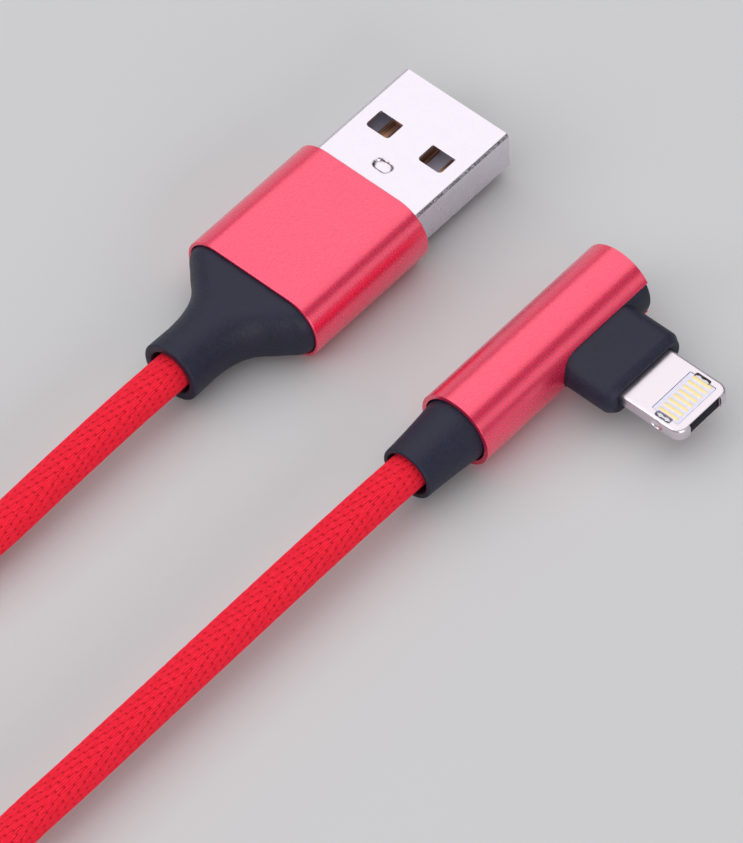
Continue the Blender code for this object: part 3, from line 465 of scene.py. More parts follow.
class Finish:
    """A Principled material with short ways to add nodes."""

    def __init__(self, name, color, roughness, metallic=0.0, **sockets):
        self.material = bpy.data.materials.new(name)
        self.material.use_nodes = True
        self.tree = self.material.node_tree
        self.shader = self.tree.nodes["Principled BSDF"]
        sockets.update(Base_Color=(*color, 1.0), Roughness=roughness, Metallic=metallic)
        for socket, value in sockets.items():
            self.shader.inputs[socket.replace("_", " ")].default_value = value

    def node(self, kind, inputs=(), output=0, **settings):
        """A node's output. Its inputs are given as numbers, colours or other outputs."""
        made = self.tree.nodes.new(kind)
        for setting, value in settings.items():
            setattr(made, setting, value)
        for key, value in dict(inputs).items():
            socket = made.inputs[key]
            if isinstance(value, Value):
                self.tree.links.new(value.socket, socket)
            else:
                socket.default_value = (*value, 1.0) if socket.type == "RGBA" else value
        return Value(self, made.outputs[output])

    def math(self, operation, *values):
        """One step of arithmetic on numbers or outputs."""
        return self.node("ShaderNodeMath", enumerate(values), operation=operation)

    def place(self, output="Object"):
        """Coordinates of the surface."""
        return self.node("ShaderNodeTexCoord", output=output)

    def parts(self, vector):
        """The three numbers of a vector."""
        first = self.node("ShaderNodeSeparateXYZ", {0: vector})
        return [Value(self, part) for part in first.socket.node.outputs]

    def noise(self, size, detail=2.0, vector=None):
        """Noise whose blobs are about the given size in metres."""
        return self.node("ShaderNodeTexNoise", {"Vector": vector or self.place(),
                                                "Scale": 1.0 / size, "Detail": detail})

    def range(self, value, low, high, to_low=0.0, to_high=1.0, kind="LINEAR"):
        """A value carried from one range to another, and kept inside it."""
        return self.node("ShaderNodeMapRange", {0: value, 1: low, 2: high, 3: to_low, 4: to_high},
                         interpolation_type=kind)

    def mix(self, amount, first, second):
        """A colour between two others."""
        return self.node("ShaderNodeMix", {0: amount, 6: first, 7: second}, 2, data_type="RGBA")

    def between(self, value, first, second, low=0.3, high=0.7):
        """A colour that goes from one to another as a value goes from low to high."""
        return self.mix(self.range(value, low, high), first, second)

    def done(self, color, roughness=None, height=None, distance=0.0, strength=1.0):
        """The material, with nodes for its colour, roughness and raised surface."""
        driven = {"Base Color": color, "Roughness": roughness}
        if height:
            driven["Normal"] = self.node("ShaderNodeBump", {
                "Height": height, "Distance": distance, "Strength": strength})
        for socket, value in driven.items():
            if value:
                self.tree.links.new(value.socket, self.shader.inputs[socket])
        return self.material


def shade(color, share):
    """A colour made darker or lighter."""
    return tuple(share * part for part in color)

# %% [markdown]
# The anodised sleeves are aluminium, blasted with fine beads and dyed red. Under the dye the
# metal mirrors the light and the blasted face scatters it, so the finish is mostly metallic.
# The clear oxide over it adds a white gloss, which turns the highlights pink: that is the
# coat. The beads' dents only show where a highlight ends.

# %% Anodised aluminium
def anodised():
    """Red metal under a clear coat, with fine grain and faint broad blotches."""
    finish = Finish("red_anodised_aluminium", (0.95, 0.009, 0.094), 0.27, 0.62,
                    Specular_IOR_Level=0.0, Coat_Weight=1.0, Coat_Roughness=0.26, Coat_IOR=1.94)
    grain = finish.noise(0.14 * MM, 1.0)
    blotch = finish.noise(0.9 * MM)
    return finish.done(finish.between(blotch, (0.93, 0.008, 0.090), (0.98, 0.010, 0.098)),
                       finish.range(grain, 0.3, 0.7, 0.25, 0.29), grain, 0.017 * MM)


ANODISED = anodised()

# %% [markdown]
# The boots and the neck are a matt moulding in a very dark navy. Spark erosion leaves a fine
# even texture on such a part, and the gloss is broad and dull. The texture's light and shade
# are also painted, as lighter specks in the colour.

# %% Navy moulding
NAVY = (0.0080, 0.0090, 0.0240)


def moulding():
    """Navy with a little lighter clouds, and twice as light specks that paint the light and shade
    of its even fine texture.
    """
    finish = Finish("navy_moulding", NAVY, 0.52, Specular_IOR_Level=0.38)
    texture = finish.noise(0.26 * MM)
    body = finish.between(finish.noise(1.4 * MM), NAVY, shade(NAVY, 1.12))
    # The lighter specks are painted light and shade of the fine texture.
    painted_texture_light = finish.range(finish.noise(0.26 * MM, 1.5), 0.35, 0.68, 0.0, 0.6)
    return finish.done(finish.mix(painted_texture_light, body, shade(NAVY, 2.0)),
                       finish.range(texture, 0.3, 0.7, 0.46, 0.58), texture, 0.05 * MM)


MOULDING = moulding()

# %% [markdown]
# The USB shell is nickel-plated steel with a satin face and a faint cloudiness from rolling.
# A dark reflection is painted along its right folds, and shade is painted in brownish patches
# on the dimple's walls. The phone plug's steel is polished and plain.

# %% Plated and polished steel
# The first colour is a painted dark reflection along the shell's right folds. The second is painted
# shade, in brownish patches on the dimple's walls.
PAINTED_FOLD_REFLECTION, PAINTED_DIMPLE_SHADE = (0.05, 0.05, 0.055), (0.09, 0.06, 0.055)
FOLD_BEGINS = (5.74 * MM, 1.92 * MM)  # from the shell's axis, to the right and up
DIMPLE_SHAPE = 2.6  # the power that rounds a box to the dimple's shape


def steel(name, color, rough_low, rough_high, cloud, grain_size, painted_shade=False):
    """Steel with faint clouds. The USB shell's steel also has a painted dark reflection along its
    right folds, and painted shade in brownish patches on the dimple's walls.
    """
    finish = Finish(name, color, rough_low, 1.0)
    clouds = finish.noise(cloud, 3.0)
    face = finish.between(clouds, shade(color, 0.975), color, 0.35, 0.65)
    if painted_shade:
        x, y, z = finish.parts(finish.place())
        # Painted dark reflection: a speckled dark band along the right folds, above and below.
        aside, above = (finish.range(value, begin, begin + 0.05 * MM)
                        for value, begin in zip((x - USB_X, abs(z - USB_Z)), FOLD_BEGINS))
        specks = finish.range(finish.noise(0.13 * MM), 0.40, 0.66, 0.9, 0.1)
        face = finish.mix(aside * above * specks, face, PAINTED_FOLD_REFLECTION)
        # Painted shade: brownish patches on the dimple's sloping walls.
        reach_x, reach_y = (abs((value - middle) / (size / 2))**DIMPLE_SHAPE for value, middle, size
                            in zip((x, y), DIMPLE_AT, DIMPLE_SIZE))
        reach = (reach_x + reach_y)**(1 / DIMPLE_SHAPE)
        rim = finish.range(reach, 0.60, 0.85) * finish.range(reach, 0.98, 1.10, 1.0, 0.0)
        patchy = finish.range(finish.noise(0.42 * MM, 1.0), 0.40, 0.62, 0.0, 0.95)
        face = finish.mix(rim * patchy * above, face, PAINTED_DIMPLE_SHADE)
    return finish.done(face, finish.range(clouds, 0.3, 0.7, rough_low, rough_high),
                       finish.noise(grain_size), 0.0004 * MM)


PLATED = steel("plated_steel", (0.785, 0.73, 0.805), 0.26, 0.30, 1.1 * MM, 0.18 * MM, painted_shade=True)
POLISHED = steel("polished_steel", (0.77, 0.70, 0.755), 0.27, 0.33, 0.8 * MM, 0.15 * MM)
SPRING_STEEL = steel("spring_steel", (0.60, 0.59, 0.61), 0.12, 0.2, 0.3 * MM, 0.08 * MM)

# %% [markdown]
# The contacts are flashed with pale gold, and the carrier between them is a pale bluish
# plastic. The USB plug's contacts look brown, because they lie deep in the shell.

# %% Contacts and small mouldings
def plain_metal(name, color, roughness, drawn=False):
    """A metal with faint wear. A drawn one has its streaks along Y, light and dark."""
    finish = Finish(name, color, roughness, 1.0)
    wear, low, darkest = finish.noise(0.25 * MM, 3.0), 0.3, 0.9
    if drawn:
        stretched = finish.node("ShaderNodeMapping", {0: finish.place(), 3: (1.0, 0.04, 1.0)})
        wear, low, darkest = finish.noise(0.22 * MM, 2.0, stretched), 0.4, 0.45
    return finish.done(finish.between(wear, shade(color, darkest), color, low, 1 - low),
                       finish.range(wear, 0.3, 0.7, roughness, roughness + 0.1))


def plain_plastic(name, color, roughness, gloss=0.5):
    """A plastic with a faint mottle."""
    finish = Finish(name, color, roughness, Specular_IOR_Level=gloss)
    mottle = finish.noise(0.3 * MM)
    return finish.done(finish.between(mottle, shade(color, 0.9), color), None, mottle, 0.004 * MM)


GOLD = plain_metal("pale_gold", (0.90, 0.74, 0.38), 0.30)
BRASS = plain_metal("brass_contact", (0.80, 0.44, 0.27), 0.38, drawn=True)
CARRIER = plain_plastic("pale_carrier", (0.83, 0.80, 0.98), 0.25)
TONGUE = plain_plastic("grey_tongue", (0.60, 0.57, 0.68), 0.45)
WIRE = plain_plastic("wire_insulation", (0.5, 0.5, 0.5), 0.5)
BOARD = plain_plastic("circuit_board", (0.02, 0.14, 0.06), 0.45)
CHIP = plain_plastic("chip_package", (0.02, 0.02, 0.022), 0.4)
DARK_SLOT = plain_plastic("dark_insert", (0.006, 0.007, 0.012), 0.5, gloss=0.12)
JACKET = plain_plastic("cord_jacket", (0.35, 0.006, 0.012), 0.6)

# %% [markdown]
# The yarn is bright red and slightly fuzzy, so it has sheen. The material draws the nicks as
# the relief does: it rounds the place across to find the row, shifts each row by its number,
# and paints shade in a narrow band where the float ends and along the stepped seams between
# rows. A slow wave keeps them from being regular.

# %% Braided yarn
# The nicks' darker red is painted shade, where the yarn dives under.
YARN_DARK, YARN_LIGHT, NICK_SHADE_RED = (0.80, 0.005, 0.020), (1.0, 0.022, 0.060), (0.46, 0.0, 0.008)
WANDER = 0.05  # the wave's height, in steps


def braided():
    """Yarn between two reds by its fibres, with painted shade in the nicks and the stepped seams.
    """
    finish = Finish("red_braid", (0.95, 0.010, 0.028), 0.8, Specular_IOR_Level=0.25,
                    Sheen_Weight=0.8, Sheen_Roughness=0.45, Sheen_Tint=(1.0, 0.07, 0.13, 1.0))
    row, along = (part * ROWS for part in finish.parts(finish.place("UV"))[:2])
    nearest = finish.math("ROUND", row)
    off = row - nearest
    wave = finish.math("SINE", nearest * 2.4 + along * 0.55)
    phase = finish.math("FLOORED_MODULO", wave * WANDER + along + abs(nearest), FLOAT_STEPS)
    gap = finish.math("MINIMUM", phase, FLOAT_STEPS - phase)
    side = abs(off)
    nick = (finish.range(gap, 0.06, 0.20, 1.0, 0.0, "SMOOTHSTEP")
            * finish.range(side, 0.55, 0.80, 1.0, 0.0, "SMOOTHSTEP"))
    inward = finish.math("LESS_THAN", finish.math("SIGN", nearest) * off, 0.0)
    early = finish.math("LESS_THAN", phase, 1.0)
    late = finish.math("GREATER_THAN", phase, FLOAT_STEPS - 1.0)
    stepped = inward * early + (1.0 - inward) * late
    seam = finish.range(side, 0.36, 0.5, 0.0, 1.0, "SMOOTHSTEP") * (stepped * 0.5 + 0.1)
    # Painted shade: the nicks and the stepped seams darken as creases in shadow do.
    dark = finish.math("MAXIMUM", nick, seam)
    stretched = finish.node("ShaderNodeCombineXYZ", {0: row * 2.2, 1: along * 1.5})
    fibre = finish.noise(1.0, 3.0, stretched)
    yarn = finish.between(fibre, YARN_DARK, YARN_LIGHT)
    return finish.done(finish.mix(dark * 0.8, yarn, NICK_SHADE_RED), None, fibre * 0.5 - dark,
                       0.03 * MM, 0.8)


BRAID = braided()
CORD_NODES = ("cord_usb_run", "cord_coil", "cord_elbow_run")
for braid, node in zip(braids, CORD_NODES):
    place(braid, "braid", BRAID, node)
place(jacket, "braid", JACKET, *CORD_NODES)

# %% [markdown]
# ## The USB plug's sleeve
#
# The sleeve is a drawn tube, tumbled so that both rims are finely rounded. Its wall is a small
# rounded rectangle carried round a large one, and one function gives both.

# %% Sleeve
SLEEVE_CORNER, SLEEVE_WALL, SLEEVE_EDGE = 3.35 * MM, 0.35 * MM, 0.13 * MM
SLEEVE_WIDTH, _, SLEEVE_HEIGHT = sleeve_high - sleeve_low


def swept_wall(name, width, height, corner, wall, y0, y1, edge, steps):
    """A wall round a bore. Its section, a rounded rectangle of the wall by the length, is
    carried round the outline."""
    section = rounded_loop(wall, y1 - y0, edge, 6)
    loops = inset_loops(width, height, corner, wall / 2 - section[:, 0], steps)
    points = rows_along(1, loops, (y0 + y1) / 2 + section[:, 1], USB_AXIS)
    return grid_piece(name, points, wrap_rows=True, sharp=50)


place(swept_wall("sleeve", SLEEVE_WIDTH, SLEEVE_HEIGHT, SLEEVE_CORNER, SLEEVE_WALL, REAR_Y,
                 FRONT_Y, SLEEVE_EDGE, 20), "anodised", ANODISED, "usb_sleeve")

# %% [markdown]
# ## The USB plug's boot
#
# The boot fills the sleeve's rear, narrows in a long fillet and ends in a round collar. Its
# outline changes smoothly from a flat rounded rectangle to a circle, as both are the same
# function with other numbers.

# %% Boot
BOOT_FLARE, BOOT_TENON, TENON_INSET = 7.8 * MM, 3.5 * MM, SLEEVE_WALL + 0.06 * MM
BOOT_WAIST, BOOT_COLLAR, COLLAR_EDGE = 5.84 * MM, 5.94 * MM, 0.16 * MM
CORD_BORE = CORD_DIAMETER / 2 + 0.15 * MM
MOUTH_DEPTHS = np.array((0.0, 0.05, 0.25, 1.2)) * MM  # the bore opens towards the cord
MOUTH_RADII = CORD_BORE + np.array((0.34, 0.28, 0.22, 0.0)) * MM
FLARE_AT = (0.0, 0.07, 0.15, 0.26, 0.36, 0.45, 0.55, 0.68, 0.83, 1.0)
NARROWED = (0.0, 0.06, 0.21, 0.41, 0.61, 0.75, 0.85, 0.93, 0.98, 1.0)


def boot_end(collar_y, radius, inner_y):
    """Places and radii of a collar's rounded end, then of the bore back from its mouth."""
    inward, rise = round_over(COLLAR_EDGE, 8)
    y = np.concatenate((collar_y + COLLAR_EDGE - rise, collar_y + MOUTH_DEPTHS, [inner_y]))
    return y, np.concatenate((radius - inward, MOUTH_RADII, [CORD_BORE]))


def usb_boot():
    """Loops along the boot: the tenon, the flare and the collar's end."""
    share = np.linspace(0, 1, 40)
    end_y, radii = boot_end(usb_boot_low[1], BOOT_COLLAR / 2, REAR_Y + BOOT_TENON)
    radii = np.append(BOOT_COLLAR / 2, radii)
    y = np.concatenate(([REAR_Y + BOOT_TENON], REAR_Y - BOOT_FLARE * share,
                        [usb_boot_low[1] + 0.4 * MM], end_y))

    def sizes(start, stop, share, end):
        return np.concatenate(([start], start + (stop - start) * share, end))

    width = sizes(SLEEVE_WIDTH - 2 * TENON_INSET, BOOT_WAIST, eased(FLARE_AT, NARROWED, share),
                  2 * radii)
    height = sizes(SLEEVE_HEIGHT - 2 * TENON_INSET, BOOT_WAIST, share, 2 * radii)
    corner = sizes(SLEEVE_CORNER - TENON_INSET, BOOT_WAIST / 2, share, radii)
    loops = [rounded_loop(*loop, 16) for loop in zip(width, height, corner)]
    return grid_piece("boot", rows_along(1, loops, y, USB_AXIS), wrap_rows=True, sharp=40)


place(usb_boot(), "moulding", MOULDING, "usb_boot")

# %% [markdown]
# ## The USB shell
#
# The shell is folded from steel strip, with four punched windows and a pressed dimple. A small
# bevel on every sharp edge is the rolled edge that a punch leaves, where the light catches.

# %% Shell
SHELL_WIDTH, _, SHELL_HEIGHT = shell_high - shell_low
SHELL_CORNER, SHELL_WALL, SHELL_EDGE = 0.5 * MM, 0.3 * MM, 0.05 * MM
HOLE, HOLE_BACK_CORNER, HOLE_FRONT_CORNER = (2.62 * MM, 2.06 * MM), 0.36 * MM, 0.12 * MM
HOLE_ASIDE, HOLE_BACK = 3.03 * MM, 6.17 * MM  # from the axis and from the nose
DIMPLE_DEPTH = 0.24 * MM


def prism_z(name, size, corner, centre, span, front_corner=None):
    """An upright solid on a rounded rectangle, whose front corners may be of another radius."""
    loop = rounded_loop(*size, corner, 8)
    if front_corner:
        loop = np.where(loop[:, 1:] > 0, rounded_loop(*size, front_corner, 8), loop)
    return grid_piece(name, rows_along(2, [loop, loop], span, centre), cap=True)


def pan(name, size, depth, centre, top):
    """A cutter for a pressed pan: ovals that shrink from the rim to a flat floor, on a wall
    that is steepest halfway down."""
    share = np.linspace(0, 1, 9)
    inset = np.concatenate(([0.0], 0.25 * MM * share, [0.30 * MM]))
    z = np.concatenate(([top + 0.3 * MM], top - depth * (1 - np.cos(np.pi * share)) / 2,
                        [top - depth]))
    width, length = size
    loops = [rounded_loop(width - 2 * i, length - 2 * i, 0.48 * (length - 2 * i), 10)
             for i in inset]
    return grid_piece(name, rows_along(2, loops, z, centre), cap=True, sharp=60)


def usb_shell():
    """The swept wall, less two windows above, two below and the dimple."""
    shell = swept_wall("shell", SHELL_WIDTH, SHELL_HEIGHT, SHELL_CORNER, SHELL_WALL,
                       shell_low[1], NOSE_Y, SHELL_EDGE, 12)
    cutters = [prism_z(f"window_{side}_{way}", HOLE, HOLE_BACK_CORNER,
                       (USB_X + side * HOLE_ASIDE, NOSE_Y - HOLE_BACK),
                       (USB_Z + way * 1.2 * MM, USB_Z + way * 3.0 * MM), HOLE_FRONT_CORNER)
               for side in (-1, 1) for way in (-1, 1)]
    cutters.append(pan("dimple", DIMPLE_SIZE, DIMPLE_DEPTH, DIMPLE_AT, USB_Z + SHELL_HEIGHT / 2))
    return soften(carve(shell, cutters, 32), 0.04 * MM, 60)


place(usb_shell(), "plated_steel", PLATED, "usb_shell")

# %% [markdown]
# ## The slotted tube
#
# The right-angle plug's sleeve is a round tube with a slot in one side for the neck, open at
# the far end and round at the other. Cutting a fine tube leaves ragged shading, so the tube is
# a sheet whose columns end at the slot's edge, and the sheet is then given its thickness.

# %% Tube
TUBE_AXIS = (TUBE_X, TUBE_Z)
TUBE_WALL = 0.45 * MM
NECK_WIDTH, NECK_HEIGHT, NECK_CORNER = 9.6 * MM, 3.75 * MM, 1.8 * MM
SLOT_FIT = 0.06 * MM
SLOT_HALF = NECK_HEIGHT / 2 + SLOT_FIT
SLOT_TURN = math.asin(SLOT_HALF / TUBE_RADIUS)  # half the slot's angle
SLOT_COLUMNS, REST_COLUMNS = 33, 129


def on_tube(angle, y):
    """Points on the tube's outside."""
    return np.stack(np.broadcast_arrays(TUBE_X + TUBE_RADIUS * np.cos(angle), y,
                                        TUBE_Z + TUBE_RADIUS * np.sin(angle)), axis=-1)


def slotted_tube():
    """A sheet on the tube's outside, in two grids that share a ring. The near one runs from the
    rim to the slot's round end, and the far one covers the turn that the slot leaves."""
    corner = NECK_CORNER + SLOT_FIT
    slot_y = PLUG_Y - NECK_WIDTH / 2 - SLOT_FIT + corner
    turn = np.concatenate((np.linspace(-SLOT_TURN, SLOT_TURN, SLOT_COLUMNS),
                           np.linspace(SLOT_TURN, 2 * np.pi - SLOT_TURN, REST_COLUMNS)[1:-1]))
    up = np.abs(TUBE_RADIUS * np.sin(turn[:SLOT_COLUMNS]))
    over = np.clip(up - (SLOT_HALF - corner), 0, corner)
    end = np.full(len(turn), slot_y)
    end[:SLOT_COLUMNS] -= np.sqrt(np.maximum(corner**2 - over**2, 0))
    share = np.concatenate((np.linspace(0, 0.9, 20), np.linspace(0.9, 1, 6)[1:]))[:, None]
    near = on_tube(turn, TUBE_Y0 + share * (end - TUBE_Y0))
    far = np.append(np.arange(SLOT_COLUMNS - 1, len(turn)), 0)
    above = on_tube(turn[far], np.linspace(slot_y, TUBE_Y1, 16)[1:, None])
    index = np.arange(near[..., 0].size).reshape(-1, len(turn))
    more = index.size + np.arange(above[..., 0].size).reshape(-1, len(far))
    more = np.concatenate((index[-1:, far], more))
    faces = np.concatenate((quads_between(index[:-1], index[1:]).reshape(-1, 4),
                            quads_between(more[:-1], more[1:])[:, :-1].reshape(-1, 4)))
    points = np.concatenate((near.reshape(-1, 3), above.reshape(-1, 3)))
    mesh = bpy.data.meshes.new("slotted_tube")
    mesh.from_pydata(points.tolist(), [], faces.tolist())
    return link_piece("slotted_tube", mesh, 50)


tube = slotted_tube()
thickness = tube.modifiers.new("wall", "SOLIDIFY")
thickness.thickness, thickness.offset, thickness.use_even_offset = TUBE_WALL, -1.0, True
place(soften(tube, 0.09 * MM, 50), "anodised", ANODISED, "elbow_sleeve")

# %% [markdown]
# ## The neck and the core
#
# One moulding fills the tube and carries the phone plug. Two shapes make it: a core on the
# tube's axis, which bulges a little into the slot, and a neck square to it. The neck's front
# is dished round the hole for the plug, so a fine dark line shows round the steel.

# %% Core
CORE_RADIUS = TUBE_RADIUS - TUBE_WALL - 0.15 * MM
FILLER_RADIUS = TUBE_RADIUS - 0.13 * MM
CORE_EDGE = 0.3 * MM
DISH_SHARE, DISH_DEPTH = (0.8, 0.5, 0.2), np.array((0.03, 0.06, 0.08)) * MM


def ring(count):
    """Unit vectors round a circle."""
    angle = 2 * np.pi * np.arange(count) / count
    return np.stack((np.cos(angle), np.sin(angle)), axis=-1)


def core():
    """Rings along the tube's axis, of the filler's radius in the slot and the core's beyond it.
    The end is rounded and slightly dished."""
    turn = ring(160)
    limit = math.asin(NECK_HEIGHT / 2 / FILLER_RADIUS)
    in_slot = np.clip((limit - np.arccos(turn[:, 0])) / math.radians(2) + 1, 0, 1)
    radius = CORE_RADIUS + (FILLER_RADIUS - CORE_RADIUS) * in_slot
    inward, rise = round_over(CORE_EDGE, 7)
    reach = radius - np.concatenate(([0, 0], inward))[:, None]
    reach = np.concatenate((reach, reach[-1] * np.array(DISH_SHARE)[:, None]))
    y = np.concatenate(([PLUG_Y, (PLUG_Y + TUBE_Y1) / 2], TUBE_Y1 - CORE_EDGE + rise,
                        TUBE_Y1 - DISH_DEPTH))
    return grid_piece("core", rows_along(1, reach[..., None] * turn, y, TUBE_AXIS), cap=True,
                      sharp=40)


place(core(), "moulding", MOULDING, "elbow_body")

# %% Neck
_, PLUG_WIDTH, PLUG_THICKNESS = plug_high - plug_low
PLUG_ROUND = 0.39 * MM
NECK_BACK = np.array((0.86, 0.74, 0.60, 0.32, 0.08, 0.02, 0.0)) * MM  # from the front face
NECK_INSET = np.array((0.0, 0.02, 0.08, 0.27, 0.42, 0.47, 0.53)) * MM
PASSAGE, NECK_DISH = 0.08 * MM, 0.15 * MM


def neck():
    """Outlines along +X: straight, in by a soft bevel to the dished front face, and back along
    the passage round the plug."""
    outside = inset_loops(NECK_WIDTH, NECK_HEIGHT, NECK_CORNER, (0.0, *NECK_INSET), 16)
    inside = inset_loops(PLUG_WIDTH, PLUG_THICKNESS, PLUG_ROUND,
                         (-PASSAGE - 0.05 * MM, -PASSAGE, -PASSAGE), 16)
    x = np.concatenate(([TUBE_X + MM], FACE_X - NECK_BACK,
                        (FACE_X - NECK_DISH, FACE_X - NECK_DISH - 0.05 * MM, FACE_X - 3 * MM)))
    return grid_piece("neck", rows_along(0, np.concatenate((outside, inside)), x,
                                         (PLUG_Y, TUBE_Z)), cap=True, sharp=40)


place(neck(), "moulding", MOULDING, "elbow_body")

# %% [markdown]
# ## The right-angle plug's boot
#
# This boot is simpler: a round taper from the tube's rim to a collar with a round lip.

# %% Elbow boot
ELBOW_END_RADIUS, ELBOW_TENON = 2.62 * MM, 4 * MM


def elbow_boot():
    """Rings of a radius that falls less and less steeply, then the collar's end and bore."""
    collar_y, inner_y = elbow_boot_low[1], TUBE_Y0 + ELBOW_TENON
    share = np.linspace(0.0, 0.95, 20)
    fall = share * (1.55 - 0.55 * share)
    end_y, end_radii = boot_end(collar_y, ELBOW_END_RADIUS, inner_y)
    y = np.concatenate(([inner_y], TUBE_Y0 - (TUBE_Y0 - collar_y) * share, end_y))
    radius = np.concatenate(([CORE_RADIUS], CORE_RADIUS + (ELBOW_END_RADIUS - CORE_RADIUS) * fall,
                             end_radii))
    loops = radius[:, None, None] * ring(64)
    return grid_piece("elbow_boot_skin", rows_along(1, loops, y, TUBE_AXIS), wrap_rows=True,
                      sharp=40)


place(elbow_boot(), "moulding", MOULDING, "elbow_boot")

# %% [markdown]
# ## The phone plug
#
# The plug's frame is a polished steel tongue. Its edge is rounded alike along the sides and
# round the tip, so it is a stack of flat outlines that step in where the edge rounds over. A
# window holds the contacts, the nose is cut back and slotted between two ears, and a scoop in
# each side catches the socket's spring.

# %% Plug frame
TIP_CORNER = 1.1 * MM
WINDOW, WINDOW_CORNER = (2.92 * MM, 5.09 * MM), 0.15 * MM
WINDOW_AT = (TIP_X - 0.9 * MM - WINDOW[0] / 2, PLUG_Y - 0.07 * MM)
FACE_Z = PLUG_THICKNESS / 2  # the plug's face from its middle
NOSE_BACK, EAR = 0.22 * MM, 2.0 * MM  # how far the nose is cut back, and where
SLOT_DEPTH, SLOT_RISE = 0.7 * MM, 0.61 * MM
RETAINER = (1.46 * MM, 0.46 * MM)  # length, width
RETAINER_AT = {-1: (TIP_X - 2.39 * MM, PLUG_Y - 2.72 * MM),
               1: (TIP_X - 2.49 * MM, PLUG_Y + 2.45 * MM)}
POCKET, POCKET_DEPTH = (RETAINER[0] + 0.22 * MM, RETAINER[1] + 0.22 * MM), 0.6 * MM
SCOOP, SCOOP_BACK = np.array((0.62, 0.30, 0.64)) * MM, 2.66 * MM


def stacked(name, size, corner, edge, half, centre, flat=0.02 * MM, arc=7, steps=12, sharp=35):
    """Flat outlines stacked upward between two faces, each drawn in where the edge rounds over.
    A last small step keeps the face flat."""
    inward, rise = round_over(edge, arc)
    up = half - edge + rise
    if flat:
        inward, up = np.append(inward, edge + flat), np.append(up, half)
    loops = inset_loops(*size, corner, (*inward[::-1], *inward), steps)
    z = centre[2] + np.append(-up[::-1], up)
    return grid_piece(name, rows_along(2, loops, z, centre[:2]), cap=True, sharp=sharp)


def nose_cutter(name, x0, half, z0, z1):
    """A plain box from a place in the nose to beyond the tip."""
    x1 = TIP_X + MM
    return prism_z(name, (x1 - x0, 2 * half), 0.02 * MM, ((x0 + x1) / 2, PLUG_Y), (z0, z1))


def pocket(side):
    """A cutter for a retainer's pocket."""
    return prism_z(f"pocket_{side}", POCKET, 0.2 * MM, RETAINER_AT[side],
                   (TUBE_Z + FACE_Z - POCKET_DEPTH, TUBE_Z + MM))


def scoop(side):
    """A cutter like an egg: circles of a sine's radius at a cosine's height, stretched."""
    polar = np.linspace(0.02, np.pi - 0.02, 24)
    loops = np.sin(polar)[:, None, None] * ring(48) * SCOOP[:2]
    centre = (TIP_X - SCOOP_BACK, PLUG_Y + side * PLUG_WIDTH / 2)
    points = rows_along(2, loops, TUBE_Z + SCOOP[2] * np.cos(polar), centre)
    return grid_piece(f"scoop_{side}", points, cap=True, sharp=80)


def plug_frame():
    """The stacked tongue, less its window, nose, slot, retainers' pockets and scoops."""
    back_x = plug_low[0]
    made = stacked("plug_tongue", (TIP_X - back_x, PLUG_WIDTH), TIP_CORNER, PLUG_ROUND, FACE_Z,
                   ((TIP_X + back_x) / 2, PLUG_Y, TUBE_Z))
    nose_x, low, high = TIP_X - NOSE_BACK, TUBE_Z - MM, TUBE_Z + MM
    cutters = [prism_z("window", WINDOW, WINDOW_CORNER, WINDOW_AT, (low, high)),
               nose_cutter("nose", nose_x, EAR, low, high),
               nose_cutter("slot", nose_x - SLOT_DEPTH, EAR - 0.04 * MM, TUBE_Z - SLOT_RISE,
                           TUBE_Z + SLOT_RISE)]
    for side in RETAINER_AT:
        cutters += [pocket(side), scoop(side)]
    return soften(carve(made, cutters), 0.025 * MM, 60)


place(plug_frame(), "polished_steel", POLISHED, "plug_frame")

# %% [markdown]
# The carrier fills the window nearly level with the steel, so only a fine dark line shows
# round it. The insert lies in the nose's slot and is almost black.

# %% Carrier and nose insert
SUNK, CARRIER_GAP = 0.02 * MM, 0.035 * MM
carrier = stacked("carrier", [side - 2 * CARRIER_GAP for side in WINDOW], WINDOW_CORNER,
                  0.04 * MM, FACE_Z - SUNK, (*WINDOW_AT, TUBE_Z))
place(carve(carrier, [pocket(side) for side in RETAINER_AT]), "insulator", CARRIER, "plug_carrier")
place(stacked("nose_insert", (SLOT_DEPTH - 0.1 * MM, 2 * EAR - 0.16 * MM), 0.1 * MM, 0.08 * MM,
              SLOT_RISE - 0.05 * MM, (TIP_X - NOSE_BACK - SLOT_DEPTH / 2, PLUG_Y, TUBE_Z)),
      "insulator", DARK_SLOT, "plug_nose_insert")

# %% [markdown]
# Each contact is a small gold pad with a softened rim, level with the carrier. The eight on
# top and the eight below are the same shape in other places.

# %% Contacts
PAD, PAD_EDGE, PAD_PROUD, PAD_FORWARD = (2.08 * MM, 0.35 * MM), 0.03 * MM, 0.012 * MM, 0.07 * MM
for name in sorted(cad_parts):
    if name.startswith("plug_contact_"):
        low, high = node_box(name)
        middle, half = (low + high) / 2, (high[2] - low[2]) / 2
        way = np.sign(middle[2] - TUBE_Z)
        middle[2] = TUBE_Z + way * (FACE_Z - SUNK + PAD_PROUD - half)
        middle[0] += PAD_FORWARD
        place(stacked(name.replace("plug_", "gold_"), PAD, PAD[1] / 4, PAD_EDGE, half, middle,
                      None, 4, 5, 50), "gold", GOLD, name)

# %% [markdown]
# The retainers are bent scraps of spring steel at the ends of the contact row. Each lies in a
# pocket that shows as a dark outline, and its two lobes catch the light.

# %% Retainers
RETAINER_HEIGHT = 0.28 * MM


